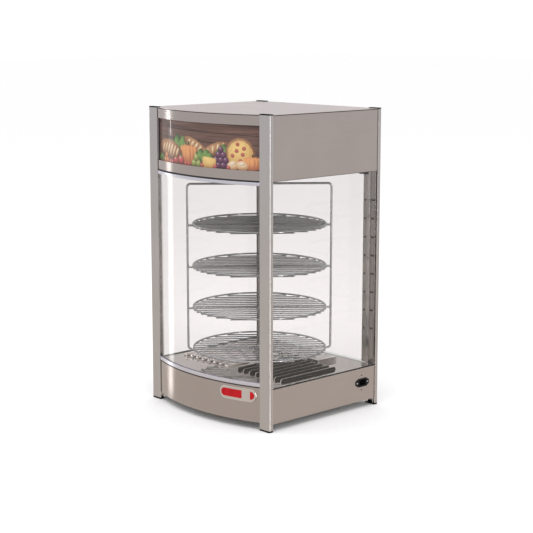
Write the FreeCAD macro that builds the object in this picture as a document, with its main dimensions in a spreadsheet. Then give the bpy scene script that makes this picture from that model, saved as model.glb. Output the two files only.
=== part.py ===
"""Rotating hot food display case: a glazed cabin between a base and a lit header, on four posts.

The row frame has +X to the right, +Y to the back and +Z up. Its origin is on the floor, midway
between the four corner posts. Lengths are in millimetres and angles in degrees.
"""
import FreeCAD, Part
import math
import os

import Sketcher

os.makedirs("parts", exist_ok=True)
doc = FreeCAD.newDocument("hot_food_display_case")
sheet = doc.addObject("Spreadsheet::Sheet", "Dims")
V = FreeCAD.Vector
nodes = []


class Size:
    """A number together with the sheet expression that gives it."""

    def __init__(self, text, value):
        self.text, self.value = text, value

    @staticmethod
    def of(other):
        return other if isinstance(other, Size) else Size(repr(float(other)), float(other))

    def __add__(self, other):
        other = Size.of(other)
        return Size(f"({self.text} + {other.text})", self.value + other.value)

    def __sub__(self, other):
        other = Size.of(other)
        return Size(f"({self.text} - {other.text})", self.value - other.value)

    def __mul__(self, other):
        other = Size.of(other)
        return Size(f"({self.text} * {other.text})", self.value * other.value)

    def __truediv__(self, other):
        other = Size.of(other)
        return Size(f"({self.text} / {other.text})", self.value / other.value)

    def __neg__(self):
        return Size(f"(0 - {self.text})", -self.value)

    def root(self):
        return Size(f"sqrt({self.text})", math.sqrt(self.value))

    __radd__ = __add__
    __rmul__ = __mul__

    def __rsub__(self, other):
        return Size.of(other) - self


def cell(alias, value, meaning):
    """Write one driving dimension in the sheet and return it."""
    row = cell.row = getattr(cell, "row", 0) + 1
    sheet.set(f"A{row}", meaning)
    sheet.set(f"B{row}", str(value))
    sheet.setAlias(f"B{row}", alias)
    return Size(f"Dims.{alias}", float(value))


# Whole case
case_width = cell("case_width", 474, "width over the posts")
case_depth = cell("case_depth", 404, "depth over the posts")
case_height = cell("case_height", 802.5, "height over the caps")
front_bulge = cell("front_bulge", 238.5, "how far forward the curved front stands")
front_radius = cell("front_radius", 545, "radius of the curved front")
sheet_metal = cell("sheet_metal", 1.2, "thickness of the stainless sheet")
slack = cell("slack", 0.3, "clearance of a piece in its slot")

# Corner posts
post_wide = cell("post_wide", 36, "post section along X")
post_thick = cell("post_thick", 13, "post section along Y")
post_round = cell("post_round", 5, "rounding of the outer corner")
post_wall = cell("post_wall", 1.8, "wall of the extrusion")
cap_thick = cell("cap_thick", 2.5, "thickness of the caps on the posts")
foot_thick = cell("foot_thick", 4, "thickness of the feet under the posts")
slot_wide = cell("slot_wide", 8.6, "width of the slot for the curved front")
slot_deep = cell("slot_deep", 8, "depth of the slot for the curved front")
groove_wide = cell("groove_wide", 4.6, "width of the groove for the side sheets")
groove_deep = cell("groove_deep", 6, "depth of the groove for the side sheets")
groove_spare = cell("groove_spare", 1, "room left at the bottom of a groove")
slot_lip = cell("slot_lip", 1.6, "lip in front of the slot for the curved front")
side_inset = cell("side_inset", 2.2, "side sheets behind the posts' outer faces")

# Levels
panel_foot = cell("panel_foot", 19.5, "underside of the base")
floor_top = cell("floor_top", 110, "top of the cabin floor")
header_foot = cell("header_foot", 637.5, "underside of the header")
roof_top = cell("roof_top", 800.8, "top of the roof sheet")
roof_gap = cell("roof_gap", 1.6, "shadow gap under the roof's edge")
roof_over = cell("roof_over", 0.5, "how far the roof's edge stands over the panels")
window_low = cell("window_low", 661.5, "lower edge of the picture window")
window_high = cell("window_high", 773.5, "upper edge of the picture window")
picture_set = cell("picture_set", 6, "picture behind the face of the bands")
picture_thick = cell("picture_thick", 3, "thickness of the picture panel")
picture_lap = cell("picture_lap", 5, "how far the picture runs on behind the bands")

# Glazing
glass = cell("glass", 4, "thickness of the glass")
lower_trim_foot = cell("lower_trim_foot", 113, "foot of the lower glass channel")
lower_trim_top = cell("lower_trim_top", 122.5, "top of the lower glass channel")
upper_trim_foot = cell("upper_trim_foot", 625, "foot of the upper glass channel")
upper_trim_top = cell("upper_trim_top", 633, "top of the upper glass channel")
trim_deep = cell("trim_deep", 9, "depth of a glass channel front to back")
trim_proud = cell("trim_proud", 1, "glass channel in front of the panels")
side_gasket = cell("side_gasket", 2, "height of the gasket under the side glass")
glass_set = cell("glass_set", 1.5, "curved glass behind the face of the bands")
trim_floor = cell("trim_floor", 3, "metal under the glass in the lower channel")
trim_roof = cell("trim_roof", 1, "metal over the glass in the upper channel")
gasket_set = cell("gasket_set", 0.5, "curved gaskets behind the face of the bands")
gasket_deep = cell("gasket_deep", 7, "depth of a curved gasket front to back")

# Rotating rack
rack_y = cell("rack_y", -17, "rack axis in Y")
rack_turn = cell("rack_turn", 50, "angle of the hoop from +X at rest")
shelf_radius = cell("shelf_radius", 178.5, "centre line of the shelf's ring")
ring_wire = cell("ring_wire", 2.5, "radius of the ring's wire")
grid_wire = cell("grid_wire", 1.9, "radius of the grid's wires")
weld_bite = cell("weld_bite", 0.4, "how far welded wires sink into each other")
grid_pitch = cell("grid_pitch", 24.5, "pitch of the grid's wires")
hoop_half = cell("hoop_half", 193, "hoop upright from the axis")
hoop_wire = cell("hoop_wire", 3, "radius of the hoop's rod")
hoop_bend = cell("hoop_bend", 10, "bend radius of the hoop's corners")
hoop_top = cell("hoop_top", 600, "height of the hoop's top rod")
first_shelf = cell("first_shelf", 155, "height of the lowest ring")
shelf_pitch = cell("shelf_pitch", 113, "distance between shelves")
shaft_radius = cell("shaft_radius", 6, "radius of the drive shaft")
bush_radius = cell("bush_radius", 10, "outer radius of the shaft's bush")
running = cell("running", 0.05, "radial running clearance")

# Floor
louvre_radius = cell("louvre_radius", 8.5, "height of a louvre hood")
louvre_skin = cell("louvre_skin", 1, "thickness of a louvre hood")
louvre_pitch = cell("louvre_pitch", 24, "pitch of the louvres")
louvre_first = cell("louvre_first", 27, "first louvre's mouth from the middle")
louvre_back = cell("louvre_back", 80, "rear end of the louvres")
louvre_long = cell("louvre_long", 202, "length of a louvre")
pan_half = cell("pan_half", 122, "half width of the pan's cut-out")
pan_front = cell("pan_front", 87, "front of the pan's cut-out")
pan_rear = cell("pan_rear", 151, "rear of the pan's cut-out")
pan_deep = cell("pan_deep", 38, "depth of the pan")
pan_rim = cell("pan_rim", 3, "rim of the pan outside its cut-out")
lid_high = cell("lid_high", 12, "height of the pan's lid")
lid_over = cell("lid_over", 4, "overhang of the lid past the cut-out")
lid_round = cell("lid_round", 1.8, "rounding of the lid's edges")
lid_hole = cell("lid_hole", 3.4, "radius of a steam hole")
lid_pitch = cell("lid_pitch", 32.5, "pitch of the steam holes")
lid_row = cell("lid_row", 21, "distance between rows of steam holes")

# Rear door
door_half = cell("door_half", 199.5, "half width of the door")
door_foot = cell("door_foot", 112.5, "underside of the door")
door_top = cell("door_top", 634, "top of the door")
stile_wide = cell("stile_wide", 16, "width of the door's stiles")
stile_deep = cell("stile_deep", 10, "thickness of the door's stiles")
stile_slot = cell("stile_slot", 5, "depth of the slot for the pane in a stile")
pane_set = cell("pane_set", 3, "pane outside the stiles' inner face")
knuckle = cell("knuckle", 2.6, "outer radius of the hinge knuckles")
pin_radius = cell("pin_radius", 1.3, "radius of the hinge pin")
hinge_foot = cell("hinge_foot", 188, "foot of the hinge")
knuckle_long = cell("knuckle_long", 48, "length of a knuckle")
leaf = cell("leaf", 1.2, "thickness of the hinge leaves")
leaf_wide = cell("leaf_wide", 18, "hinge leaf from the pin to its edge")
post_rivets = cell("post_rivets", 13, "row of rivets in the post from its inner edge")
door_rivets = cell("door_rivets", 8.5, "row of rivets in the door from its edge")
rivet = cell("rivet", 1.6, "radius of the hinge rivets")
rivet_first = cell("rivet_first", 206, "height of the lowest rivet")
rivet_pitch = cell("rivet_pitch", 50, "distance between rivets")

# Controls and electrical parts
control_z = cell("control_z", 66, "height of the controls' centres")
knob_x = cell("knob_x", -100, "thermostat in X")
knob_radius = cell("knob_radius", 21, "radius of the thermostat's knob")
rocker_x = cell("rocker_x", 70, "first switch in X")
rocker_step = cell("rocker_step", 45, "distance between the switches")
rocker_tilt = cell("rocker_tilt", 8, "tilt of a rocker at rest")
inlet_y = cell("inlet_y", 141, "power inlet in Y")
inlet_z = cell("inlet_z", 70.5, "power inlet in Z")
inlet_screws = cell("inlet_screws", 40, "distance between the inlet's screws")
badge_x = cell("badge_x", 138, "badge in X")
badge_z = cell("badge_z", 88, "badge in Z")
badge_long = cell("badge_long", 107, "length of the badge")
badge_high = cell("badge_high", 35, "height of the badge")

side_out = case_width / 2 - side_inset
post_in = case_width / 2 - post_wide
post_face = case_depth / 2
post_back = case_depth / 2 - post_thick
arc_y = front_radius - front_bulge
rear_face = post_face - post_wall - slack
roof_foot = roof_top - sheet_metal
wall_top = roof_foot - roof_gap
front_reach = post_in + groove_deep
side_reach = post_back + groove_deep - groove_spare
picture_top = window_high + picture_lap
floor_foot = floor_top - sheet_metal
side_glass_top = header_foot - side_gasket / 2
# How far a cutter runs on past what it cuts
OVER = 1
UP = V(0, 0, 1)
AXES = {"x": V(1, 0, 0), "y": V(0, 1, 0), "z": UP}


def bind(obj, **sizes):
    """Bind properties to sizes; a double underscore in a name stands for a dot."""
    for name, size in sizes.items():
        obj.setExpression(name.replace("__", "."), Size.of(size).text)
    return obj


def span(first, second):
    """Two sizes with the lower one first."""
    return sorted((Size.of(first), Size.of(second)), key=lambda size: size.value)


def place(obj, x=0, y=0, z=0):
    return bind(obj, Placement__Base__x=x, Placement__Base__y=y, Placement__Base__z=z)


def box(x, y, z, name="block"):
    """A block from three (low, high) pairs."""
    (x0, x1), (y0, y1), (z0, z1) = [[Size.of(v) for v in pair] for pair in (x, y, z)]
    solid = doc.addObject("Part::Box", name)
    bind(solid, Length=x1 - x0, Width=y1 - y0, Height=z1 - z0)
    return place(solid, x0, y0, z0)


def rod(radius, length, axis, x, y, z, name="rod"):
    """A cylinder that starts at (x, y, z) and runs along a row axis."""
    solid = doc.addObject("Part::Cylinder", name)
    solid.Placement.Rotation = FreeCAD.Rotation(UP, AXES[axis])
    bind(solid, Radius=radius, Height=length)
    return place(solid, x, y, z)


def ring(major, minor, x, y, z, sweep=360, turn=0):
    """A torus, or a part of one, round a vertical axis."""
    solid = doc.addObject("Part::Torus", "ring")
    solid.Angle3 = sweep
    solid.Placement.Rotation = FreeCAD.Rotation(UP, turn)
    return place(bind(solid, Radius1=major, Radius2=minor), x, y, z)


def fuse(*shapes, name="joined"):
    solid = doc.addObject("Part::MultiFuse", name)
    solid.Shapes = list(shapes)
    solid.Refine = True
    return solid


def cut(base, *tools, name="cut"):
    solid = doc.addObject("Part::Cut", name)
    solid.Base = base
    solid.Tool = tools[0] if len(tools) == 1 else group(*tools)
    return solid


def common(first, second, name="common"):
    solid = doc.addObject("Part::Common", name)
    solid.Base, solid.Tool = first, second
    return solid


def group(*shapes, name="group"):
    """Separate solids kept together in one object."""
    kept = doc.addObject("Part::Compound", name)
    kept.Links = list(shapes)
    return kept


def rounded(base, radius, wanted, name="rounded"):
    """Fillet the edges whose end points satisfy a test."""
    doc.recompute()
    solid = doc.addObject("Part::Fillet", name)
    solid.Base = base
    chosen = []
    for number, edge in enumerate(base.Shape.Edges, 1):
        if wanted(edge):
            chosen.append((number, radius.value, radius.value))
    solid.Edges = chosen
    return solid


def node(label, solid):
    """Give a finished piece the name of its node."""
    solid.Label = label
    nodes.append(solid)
    return solid


def new_body(name):
    return doc.addObject("PartDesign::Body", name)


def new_sketch(body, lift=0, plane="XY_Plane"):
    """A sketch on one of the body's own origin planes, raised by lift."""
    sketch = body.newObject("Sketcher::SketchObject", "outline")
    origin = [o for o in body.Origin.OriginFeatures if o.Role == plane]
    sketch.AttachmentSupport = [(origin[0], "")]
    sketch.MapMode = "FlatFace"
    return bind(sketch, AttachmentOffset__Base__z=lift)


def pin_down(sketch, curve, point, x, y):
    """Hold one point of a sketch at its own place from the origin."""
    for kind, size, axis in (("DistanceX", x, -2), ("DistanceY", y, -1)):
        size = Size.of(size)
        if abs(size.value) < 1e-9:
            sketch.addConstraint(Sketcher.Constraint("PointOnObject", curve, point, axis))
            continue
        ends = (-1, 1, curve, point) if size.value > 0 else (curve, point, -1, 1)
        length = size if size.value > 0 else -size
        index = sketch.addConstraint(Sketcher.Constraint(kind, *ends, length.value))
        sketch.setExpression(f"Constraints[{index}]", length.text)


def draw_polygon(sketch, points):
    """A closed outline with every corner held by two dimensions."""
    first = sketch.GeometryCount
    count = len(points)
    corners = [V(Size.of(x).value, Size.of(y).value, 0) for x, y in points]
    for i, corner in enumerate(corners):
        sketch.addGeometry(Part.LineSegment(corner, corners[(i + 1) % count]), False)
    for i in range(count):
        after = first + (i + 1) % count
        sketch.addConstraint(Sketcher.Constraint("Coincident", first + i, 2, after, 1))
    for i, (x, y) in enumerate(points):
        pin_down(sketch, first + i, 1, x, y)


def pad(body, sketch, length):
    feature = body.newObject("PartDesign::Pad", "pad")
    feature.Profile = sketch
    return bind(feature, Length=length)


def curved_plate(outer, thick, reach, low, high, name="curved_plate"):
    """An upright plate that follows the curved front between x = -reach and x = reach."""
    body = new_body(name)
    sketch = new_sketch(body, low)
    outer, thick, reach = Size.of(outer), Size.of(thick), Size.of(reach)
    radii = (outer, outer - thick)
    centre = V(0, arc_y.value, 0)
    for size in radii:
        half = math.asin(reach.value / size.value)
        circle = Part.Circle(centre, UP, size.value)
        sweep = (-math.pi / 2 - half, -math.pi / 2 + half)
        sketch.addGeometry(Part.ArcOfCircle(circle, *sweep), False)
    tips = [-math.sqrt(size.value ** 2 - reach.value ** 2) + arc_y.value for size in radii]
    for side in (-1, 1):
        start, end = (V(side * reach.value, tip, 0) for tip in tips)
        sketch.addGeometry(Part.LineSegment(start, end), False)
    for line, end in ((2, 1), (3, 2)):
        sketch.addConstraint(Sketcher.Constraint("Coincident", 0, end, line, 1))
        sketch.addConstraint(Sketcher.Constraint("Coincident", 1, end, line, 2))
        sketch.addConstraint(Sketcher.Constraint("Vertical", line))
    sketch.addConstraint(Sketcher.Constraint("Coincident", 0, 3, 1, 3))
    pin_down(sketch, 0, 3, 0, arc_y)
    for curve, size in enumerate(radii):
        index = sketch.addConstraint(Sketcher.Constraint("Radius", curve, size.value))
        sketch.setExpression(f"Constraints[{index}]", size.text)
    for ends in ((0, 1, -1, 1), (-1, 1, 0, 2)):
        index = sketch.addConstraint(Sketcher.Constraint("DistanceX", *ends, reach.value))
        sketch.setExpression(f"Constraints[{index}]", reach.text)
    pad(body, sketch, high - low)
    return body


def deck(low, high, inset=sheet_metal + slack / 2, name="deck"):
    """A level sheet that fills the case and follows its curved front, inset from its outside."""
    gap = slack / 2
    edge = side_out - inset
    middle = box((-edge, edge), (-(post_back - gap), post_back - gap), (low, high))
    radius = front_radius - inset
    disc = rod(radius, high - low, "z", 0, arc_y, low)
    inner = post_in - gap
    strip = box((-inner, inner), (-case_depth, rear_face - sheet_metal - gap), (low, high))
    return fuse(middle, common(disc, strip), name=name)


def post(side, end):
    """A corner extrusion: a slot for the curved front, an open channel and a glass groove."""
    body = new_body("post")
    sketch = new_sketch(body, foot_thick)
    groove_out = post_wide - side_inset + slack
    groove_in = groove_out - groove_wide
    mouth = post_thick - groove_deep

    def at(across, back):
        return (side * (post_in + across), end * (post_face - back))

    channel_in, channel_out = slot_deep + post_wall, groove_in - post_wall
    draw_polygon(sketch, [
        at(0, 0), at(post_wide, 0), at(post_wide, post_thick), at(groove_out, post_thick),
        at(groove_out, mouth), at(groove_in, mouth), at(groove_in, post_thick),
        at(channel_out, post_thick), at(channel_out, post_wall), at(channel_in, post_wall),
        at(channel_in, post_thick), at(0, post_thick), at(0, slot_lip + slot_wide),
        at(slot_deep, slot_lip + slot_wide), at(slot_deep, slot_lip), at(0, slot_lip)])
    pad(body, sketch, case_height - cap_thick - foot_thick)
    doc.recompute()
    corner = V(side * case_width.value / 2, end * case_depth.value / 2, 0)
    round_edge(body, corner, post_round)
    return body


def round_edge(body, corner, radius):
    """Fillet the one upright edge of a body that stands over a corner."""
    tip = body.Tip
    for number, edge in enumerate(tip.Shape.Edges, 1):
        ends = [vertex.Point for vertex in edge.Vertexes]
        flat = [V(point.x, point.y, 0) for point in ends]
        if len(ends) == 2 and all(point.distanceToPoint(corner) < 1e-3 for point in flat):
            fillet = body.newObject("PartDesign::Fillet", "fillet")
            fillet.Base = (tip, [f"Edge{number}"])
            bind(fillet, Radius=radius)
            return


def make_posts():
    places = {"front_left": (-1, -1), "front_right": (1, -1), "rear_left": (-1, 1)}
    for label, (side, end) in places.items():
        node(f"post_{label}", post(side, end))
    drilled = cut(post(1, 1), *hinge_holes(hinge_post_x))
    node("post_rear_right", drilled)


def make_caps(label, low, high):
    """Four plastic plates over the ends of the posts."""
    plates = []
    for side in (-1, 1):
        for end in (-1, 1):
            body = new_body("plate")
            sketch = new_sketch(body, low)
            outer = case_width / 2
            draw_polygon(sketch, [(side * post_in, end * post_back), (side * outer, end * post_back),
                                  (side * outer, end * post_face), (side * post_in, end * post_face)])
            pad(body, sketch, high - low)
            doc.recompute()
            round_edge(body, V(side * outer.value, end * post_face.value, 0), post_round)
            plates.append(body)
    node(label, group(*plates))


def make_base():
    node("base_front_panel", curved_plate(
        front_radius, sheet_metal, front_reach, panel_foot, floor_top - slack))
    across = (-side_reach, side_reach)
    upright = (panel_foot, floor_top - slack)
    left = box((-side_out, -(side_out - sheet_metal)), across, upright)
    node("base_side_left", left)
    right = box((side_out - sheet_metal, side_out), across, upright)
    node("base_side_right", cut(right, *inlet_openings()))
    rear = box((-front_reach, front_reach), (rear_face - sheet_metal, rear_face), upright)
    node("base_rear_panel", cut(rear, *control_openings()))
    node("base_bottom_plate", deck(panel_foot, panel_foot + sheet_metal))


def louvre(mouth, side, radius, sweep):
    """Part of a capsule that lies along Y: the hood over one slot, or the space inside it.

    side is the way its mouth faces. sweep is 90 for the hood and 180 for the space.
    """
    start = louvre_back - louvre_long + louvre_radius
    length = louvre_long - louvre_radius * 2
    pieces = []
    barrel = doc.addObject("Part::Cylinder", "barrel")
    barrel.Angle = sweep
    bind(barrel, Radius=radius, Height=length)
    pieces.append((barrel, start))
    for low, high, spot in ((-90, 0, start), (0, 90, start + length)):
        dome = doc.addObject("Part::Sphere", "dome")
        dome.Angle1, dome.Angle2, dome.Angle3 = low, high, sweep
        bind(dome, Radius=radius)
        pieces.append((dome, spot))
    along = FreeCAD.Rotation(UP, V(0, 1, 0))
    spin = FreeCAD.Rotation(V(0, 1, 0), 270 - sweep if side > 0 else -90)
    for piece, spot in pieces:
        piece.Placement.Rotation = spin * along
        place(piece, mouth, spot, floor_top)
    return [piece for piece, _ in pieces]


LOUVRES = 8
SCREW_HOLE, SCREW_SHANK, SCREW_HEAD, HEAD_HIGH = 1.7, 1.6, 2.9, 1.2
FLOOR_SCREWS = ((-160, -139), (4, -139), (-33, -196))


def make_floor():
    hoods, hollows = [], []
    for side in (-1, 1):
        for number in range(LOUVRES):
            mouth = side * (louvre_first + louvre_pitch * number)
            hoods += louvre(mouth, side, louvre_radius, 90)
            hollows += louvre(mouth, side, louvre_radius - louvre_skin, 180)
    plate = deck(floor_foot, floor_top)
    through = (floor_foot - OVER, floor_top + OVER)
    hole = rod(bush_radius, sheet_metal + OVER * 2, "z", 0, rack_y, floor_foot - OVER)
    window = box((-pan_half, pan_half), (pan_front, pan_rear), through)
    screw_holes = []
    for x, y in FLOOR_SCREWS:
        screw_holes.append(rod(SCREW_HOLE, sheet_metal + OVER * 2, "z", x, y, floor_foot - OVER))
    whole = fuse(plate, *hoods)
    node("cabin_floor", cut(whole, fuse(*hollows), hole, window, *screw_holes))


def make_pan():
    gap, wall = slack, sheet_metal
    half, front, rear = pan_half - gap, pan_front + gap, pan_rear - gap
    foot = floor_top - pan_deep
    outer = box((-half, half), (front, rear), (foot, floor_top))
    rim = box((-half - pan_rim, half + pan_rim), (front - pan_rim, rear + pan_rim),
              (floor_top, floor_top + wall))
    inner = box((wall - half, half - wall), (front + wall, rear - wall),
                (foot + wall, floor_top + wall * 2))
    node("water_pan", cut(fuse(outer, rim), inner))
    outside = box((-half - lid_over, half + lid_over), (front - lid_over, rear + lid_over),
                  (floor_top, floor_top + lid_high))
    edges = rounded(outside, lid_round, stands_upright_or_above(floor_top))
    skin = lid_over - wall / 2
    inside = box((-half - skin, half + skin), (front - skin, rear + skin),
                 (floor_top - OVER, floor_top + lid_high - wall))
    middle = (pan_front + pan_rear) / 2
    holes = []
    for row in (-1, 0, 1):
        count = 7 if row else 8
        for number in range(count):
            x = lid_pitch * (number - (count - 1) / 2)
            holes.append(rod(lid_hole, lid_high, "z", x, middle + lid_row * row, floor_top + wall))
    node("pan_lid", cut(edges, inside, *holes))


def stands_upright_or_above(height):
    """Edges of a block apart from those round its underside."""
    level = Size.of(height).value

    def wanted(edge):
        return max(vertex.Z for vertex in edge.Vertexes) > level + 1e-3
    return wanted


ROOF_SCREWS = (-130, 102)
roof_screw_y = rear_face - 8


def make_header():
    ledge = picture_set - slack
    lower = curved_plate(front_radius, sheet_metal, front_reach, header_foot, window_low)
    lower_ledge = curved_plate(front_radius, ledge, post_in - slack,
                               window_low - sheet_metal, window_low)
    node("header_lower_band", fuse(lower, lower_ledge))
    upper = curved_plate(front_radius, sheet_metal, front_reach, window_high, wall_top)
    upper_ledge = curved_plate(front_radius, ledge, post_in - slack,
                               window_high, window_high + sheet_metal)
    node("header_upper_band", fuse(upper, upper_ledge))
    node("picture_panel", curved_plate(front_radius - picture_set, picture_thick,
                                       post_in - picture_lap, window_low - picture_lap, picture_top))
    across = (-side_reach, side_reach)
    for label, side in (("left", -1), ("right", 1)):
        faces = span(side * (side_out - sheet_metal), side * side_out)
        node(f"header_side_{label}", box(faces, across, (header_foot, wall_top)))
    node("header_rear_panel", box((-front_reach, front_reach), (rear_face - sheet_metal, rear_face),
                                  (header_foot, wall_top)))
    holes = [rod(SCREW_HOLE, sheet_metal + OVER * 2, "z", x, roof_screw_y, roof_foot - OVER)
             for x in ROOF_SCREWS]
    node("roof_panel", cut(deck(roof_foot, roof_top, -roof_over), *holes))
    node("cabin_ceiling", deck(header_foot, header_foot + sheet_metal))


LAMP_Y, LAMP_Z, LAMP_HALF, LAMP_RADIUS = -150, 716, 144, 8
HOLDER_WIDE, HOLDER_HALF = 14, 12


def make_lamp():
    """The tube that lights the picture from behind, in two holders on the cabin's ceiling."""
    node("lamp_tube", rod(LAMP_RADIUS, LAMP_HALF * 2, "x", -LAMP_HALF, LAMP_Y, LAMP_Z))
    holders = []
    for side in (-1, 1):
        near, far = span(side * LAMP_HALF, side * (LAMP_HALF + HOLDER_WIDE))
        holders.append(box((near, far), (LAMP_Y - HOLDER_HALF, LAMP_Y + HOLDER_HALF),
                           (header_foot + sheet_metal, LAMP_Z + HOLDER_HALF)))
    node("lamp_holders", group(*holders))


def make_glazing():
    face = front_radius - glass_set
    foot, top = lower_trim_foot + trim_floor, upper_trim_top - trim_roof
    node("front_glass", curved_plate(face, glass, front_reach - groove_spare, foot, top))
    for label, side in (("left", -1), ("right", 1)):
        faces = span(side * (side_out - glass), side * side_out)
        upright = (floor_top + side_gasket, side_glass_top)
        node(f"side_glass_{label}", box(faces, (-side_reach, side_reach), upright))
    end = post_in - slack / 2
    body = curved_plate(front_radius + trim_proud, trim_deep, end, lower_trim_foot, lower_trim_top)
    room = curved_plate(face + slack, glass + slack * 2, post_in + OVER,
                        foot - slack, lower_trim_top + OVER)
    node("lower_glass_channel", cut(body, room))
    body = curved_plate(front_radius + trim_proud, trim_deep, end, upper_trim_foot, upper_trim_top)
    room = curved_plate(face + slack, glass + slack * 2, post_in + OVER,
                        upper_trim_foot - OVER, top + slack)
    node("upper_glass_channel", cut(body, room))
    strips = [
        curved_plate(front_radius - gasket_set, gasket_deep, end, floor_top, lower_trim_foot),
        curved_plate(front_radius - gasket_set, gasket_deep, end, upper_trim_top, header_foot)]
    for side in (-1, 1):
        wide = span(side * (side_out - glass), side * side_out)
        long = (-(post_back - slack), post_back - slack)
        strips.append(box(wide, long, (floor_top, floor_top + side_gasket)))
        strips.append(box(wide, long, (side_glass_top, header_foot)))
    node("glass_gaskets", group(*strips))


hinge_x = (post_in + door_half) / 2 + slack
hinge_y = post_face + knuckle
hinge_post_x = post_in + post_rivets
hinge_door_x = door_half - door_rivets
KNUCKLES = 8
RIVETS = 8
HEAD_RATIO, TAIL_RATIO = 1.9, 1.6
RELIEF_HALF, RELIEF_DEEP, RELIEF_FOOT, RELIEF_TOP = 2, 2, 145, 170


def hinge_holes(x):
    """Cutters for a row of rivet holes through whatever the hinge is fixed to."""
    return [rod(rivet, stile_deep + leaf * 4, "y", x, post_face - stile_deep - leaf,
                rivet_first + rivet_pitch * number) for number in range(RIVETS)]


def hinge_leaf(label, side, own):
    """One leaf of the long hinge. side is the way it lies; own says which knuckles are its own."""
    top = hinge_foot + knuckle_long * KNUCKLES
    clear = knuckle + slack
    near, far = hinge_x + side * clear, hinge_x + side * leaf_wide
    plates = [box(span(near, far), (post_face, post_face + leaf), (hinge_foot, top))]
    for number in range(own, KNUCKLES, 2):
        low = hinge_foot + knuckle_long * number + slack
        high = low + knuckle_long - slack * 2
        plates.append(rod(knuckle, high - low, "z", hinge_x, hinge_y, low))
        plates.append(box(span(hinge_x, near), (post_face, post_face + leaf), (low, high)))
    bore = rod(pin_radius + running, top - hinge_foot, "z", hinge_x, hinge_y, hinge_foot)
    x = hinge_post_x if side > 0 else hinge_door_x
    node(label, cut(fuse(*plates), bore, *hinge_holes(x)))


def hinge_rivets(label, x, inner):
    """Round-headed rivets through a leaf and what is behind it, from y = inner outwards."""
    rivets = []
    for number in range(RIVETS):
        z = rivet_first + rivet_pitch * number
        shank = rod(rivet, post_face + leaf - inner, "y", x, inner, z)
        head = rod(rivet * HEAD_RATIO, leaf, "y", x, post_face + leaf, z)
        tail = rod(rivet * TAIL_RATIO, leaf, "y", x, inner - leaf, z)
        rivets.append(fuse(shank, head, tail))
    node(label, group(*rivets))


def make_door():
    inner_face = post_face - stile_deep
    upright = (door_foot, door_top)
    pane_face = inner_face + pane_set
    edge = door_half - stile_wide + stile_slot
    node("door_glass", box((-edge, edge), (pane_face, pane_face + glass), upright))
    for label, side in (("door_hinge_stile", 1), ("door_latch_stile", -1)):
        near, far = side * (door_half - stile_wide), side * door_half
        bar = box(span(near, far), (inner_face, post_face), upright)
        lip = side * (edge + slack)
        room = box(span(near - side, lip),
                   (pane_face - slack / 2, pane_face + glass + slack / 2),
                   (door_foot - OVER, door_top + OVER))
        tools = [room]
        if side > 0:
            tools += hinge_holes(hinge_door_x)
            relief_x = (hinge_door_x - RELIEF_HALF, hinge_door_x + RELIEF_HALF)
            tools.append(box(relief_x, (inner_face - OVER, inner_face + RELIEF_DEEP),
                             (RELIEF_FOOT, RELIEF_TOP)))
        node(label, cut(bar, *tools))
    hinge_leaf("hinge_leaf_door", -1, 0)
    hinge_leaf("hinge_leaf_post", 1, 1)
    node("hinge_pin", rod(pin_radius, knuckle_long * KNUCKLES, "z", hinge_x, hinge_y, hinge_foot))
    hinge_rivets("hinge_rivets_door", hinge_door_x, inner_face)
    hinge_rivets("hinge_rivets_post", hinge_post_x, post_face - post_wall)
    make_handle()
    make_catch(inner_face)


HANDLE_FOOT, HANDLE_TOP = 330, 450
HANDLE_BASE, HANDLE_SET, HANDLE_OUT = 13, 4, 11
HANDLE_SKIN, HANDLE_BEAD = 1.5, 1.6


def make_handle():
    """An extruded finger pull along the door's free edge."""
    height = (HANDLE_FOOT, HANDLE_TOP)
    edge, lip_x = -door_half, -door_half + HANDLE_SET
    back = box((edge, edge + HANDLE_BASE), (post_face, post_face + HANDLE_SKIN), height)
    lip = box((lip_x, lip_x + HANDLE_SKIN), (post_face, post_face + HANDLE_OUT), height)
    bead = rod(HANDLE_BEAD, HANDLE_TOP - HANDLE_FOOT, "z", lip_x + HANDLE_SKIN / 2,
               post_face + HANDLE_OUT, HANDLE_FOOT)
    node("door_handle", fuse(back, lip, bead))


CATCH_NEAR, CATCH_FAR = 2, 14
MAGNET_DEEP, MAGNET_GAP, MAGNET_FOOT = 14, 1.3, 606
STRIKE_THICK, STRIKE_FOOT, STRIKE_TOP = 1, 604, 630
STOP_IN, STOP_OUT, STOP_DEEP, STOP_GAP, STOP_FOOT = 174, 200, 8, 0.5, 625
STOP_NOTCH, STOP_ROOM = (184, 190), 5


def make_catch(inner_face):
    """A magnet under the ceiling with its steel plate on the door, and a stop by the hinge."""
    wide = (-(door_half - CATCH_NEAR), -(door_half - CATCH_FAR))
    magnet = box(wide, (inner_face - MAGNET_DEEP, inner_face - MAGNET_GAP),
                 (MAGNET_FOOT, header_foot))
    node("door_strike", box(wide, (inner_face - STRIKE_THICK, inner_face),
                            (STRIKE_FOOT, STRIKE_TOP)))
    deep = (inner_face - STOP_DEEP, inner_face - STOP_GAP)
    block = box((STOP_IN, STOP_OUT), deep, (STOP_FOOT, header_foot))
    notch = box(STOP_NOTCH, (inner_face - STOP_DEEP - OVER, inner_face),
                (STOP_FOOT - OVER, STOP_FOOT + STOP_ROOM))
    node("door_catches", group(magnet, cut(block, notch)))


GRID_WIRES = 14


def shelf(height):
    """A wire shelf: a ring with a grid of parallel wires welded under it."""
    wires = [ring(shelf_radius, ring_wire, 0, 0, 0)]
    level = weld_bite - ring_wire - grid_wire
    for number in range(GRID_WIRES):
        y = grid_pitch * (number - (GRID_WIRES - 1) / 2)
        half = (shelf_radius * shelf_radius - y * y).root() + ring_wire
        wires.append(rod(grid_wire, half * 2, "x", -half, y, level))
    solid = fuse(*wires, name="shelf")
    turn_to_rest(solid, height)
    return solid


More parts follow.
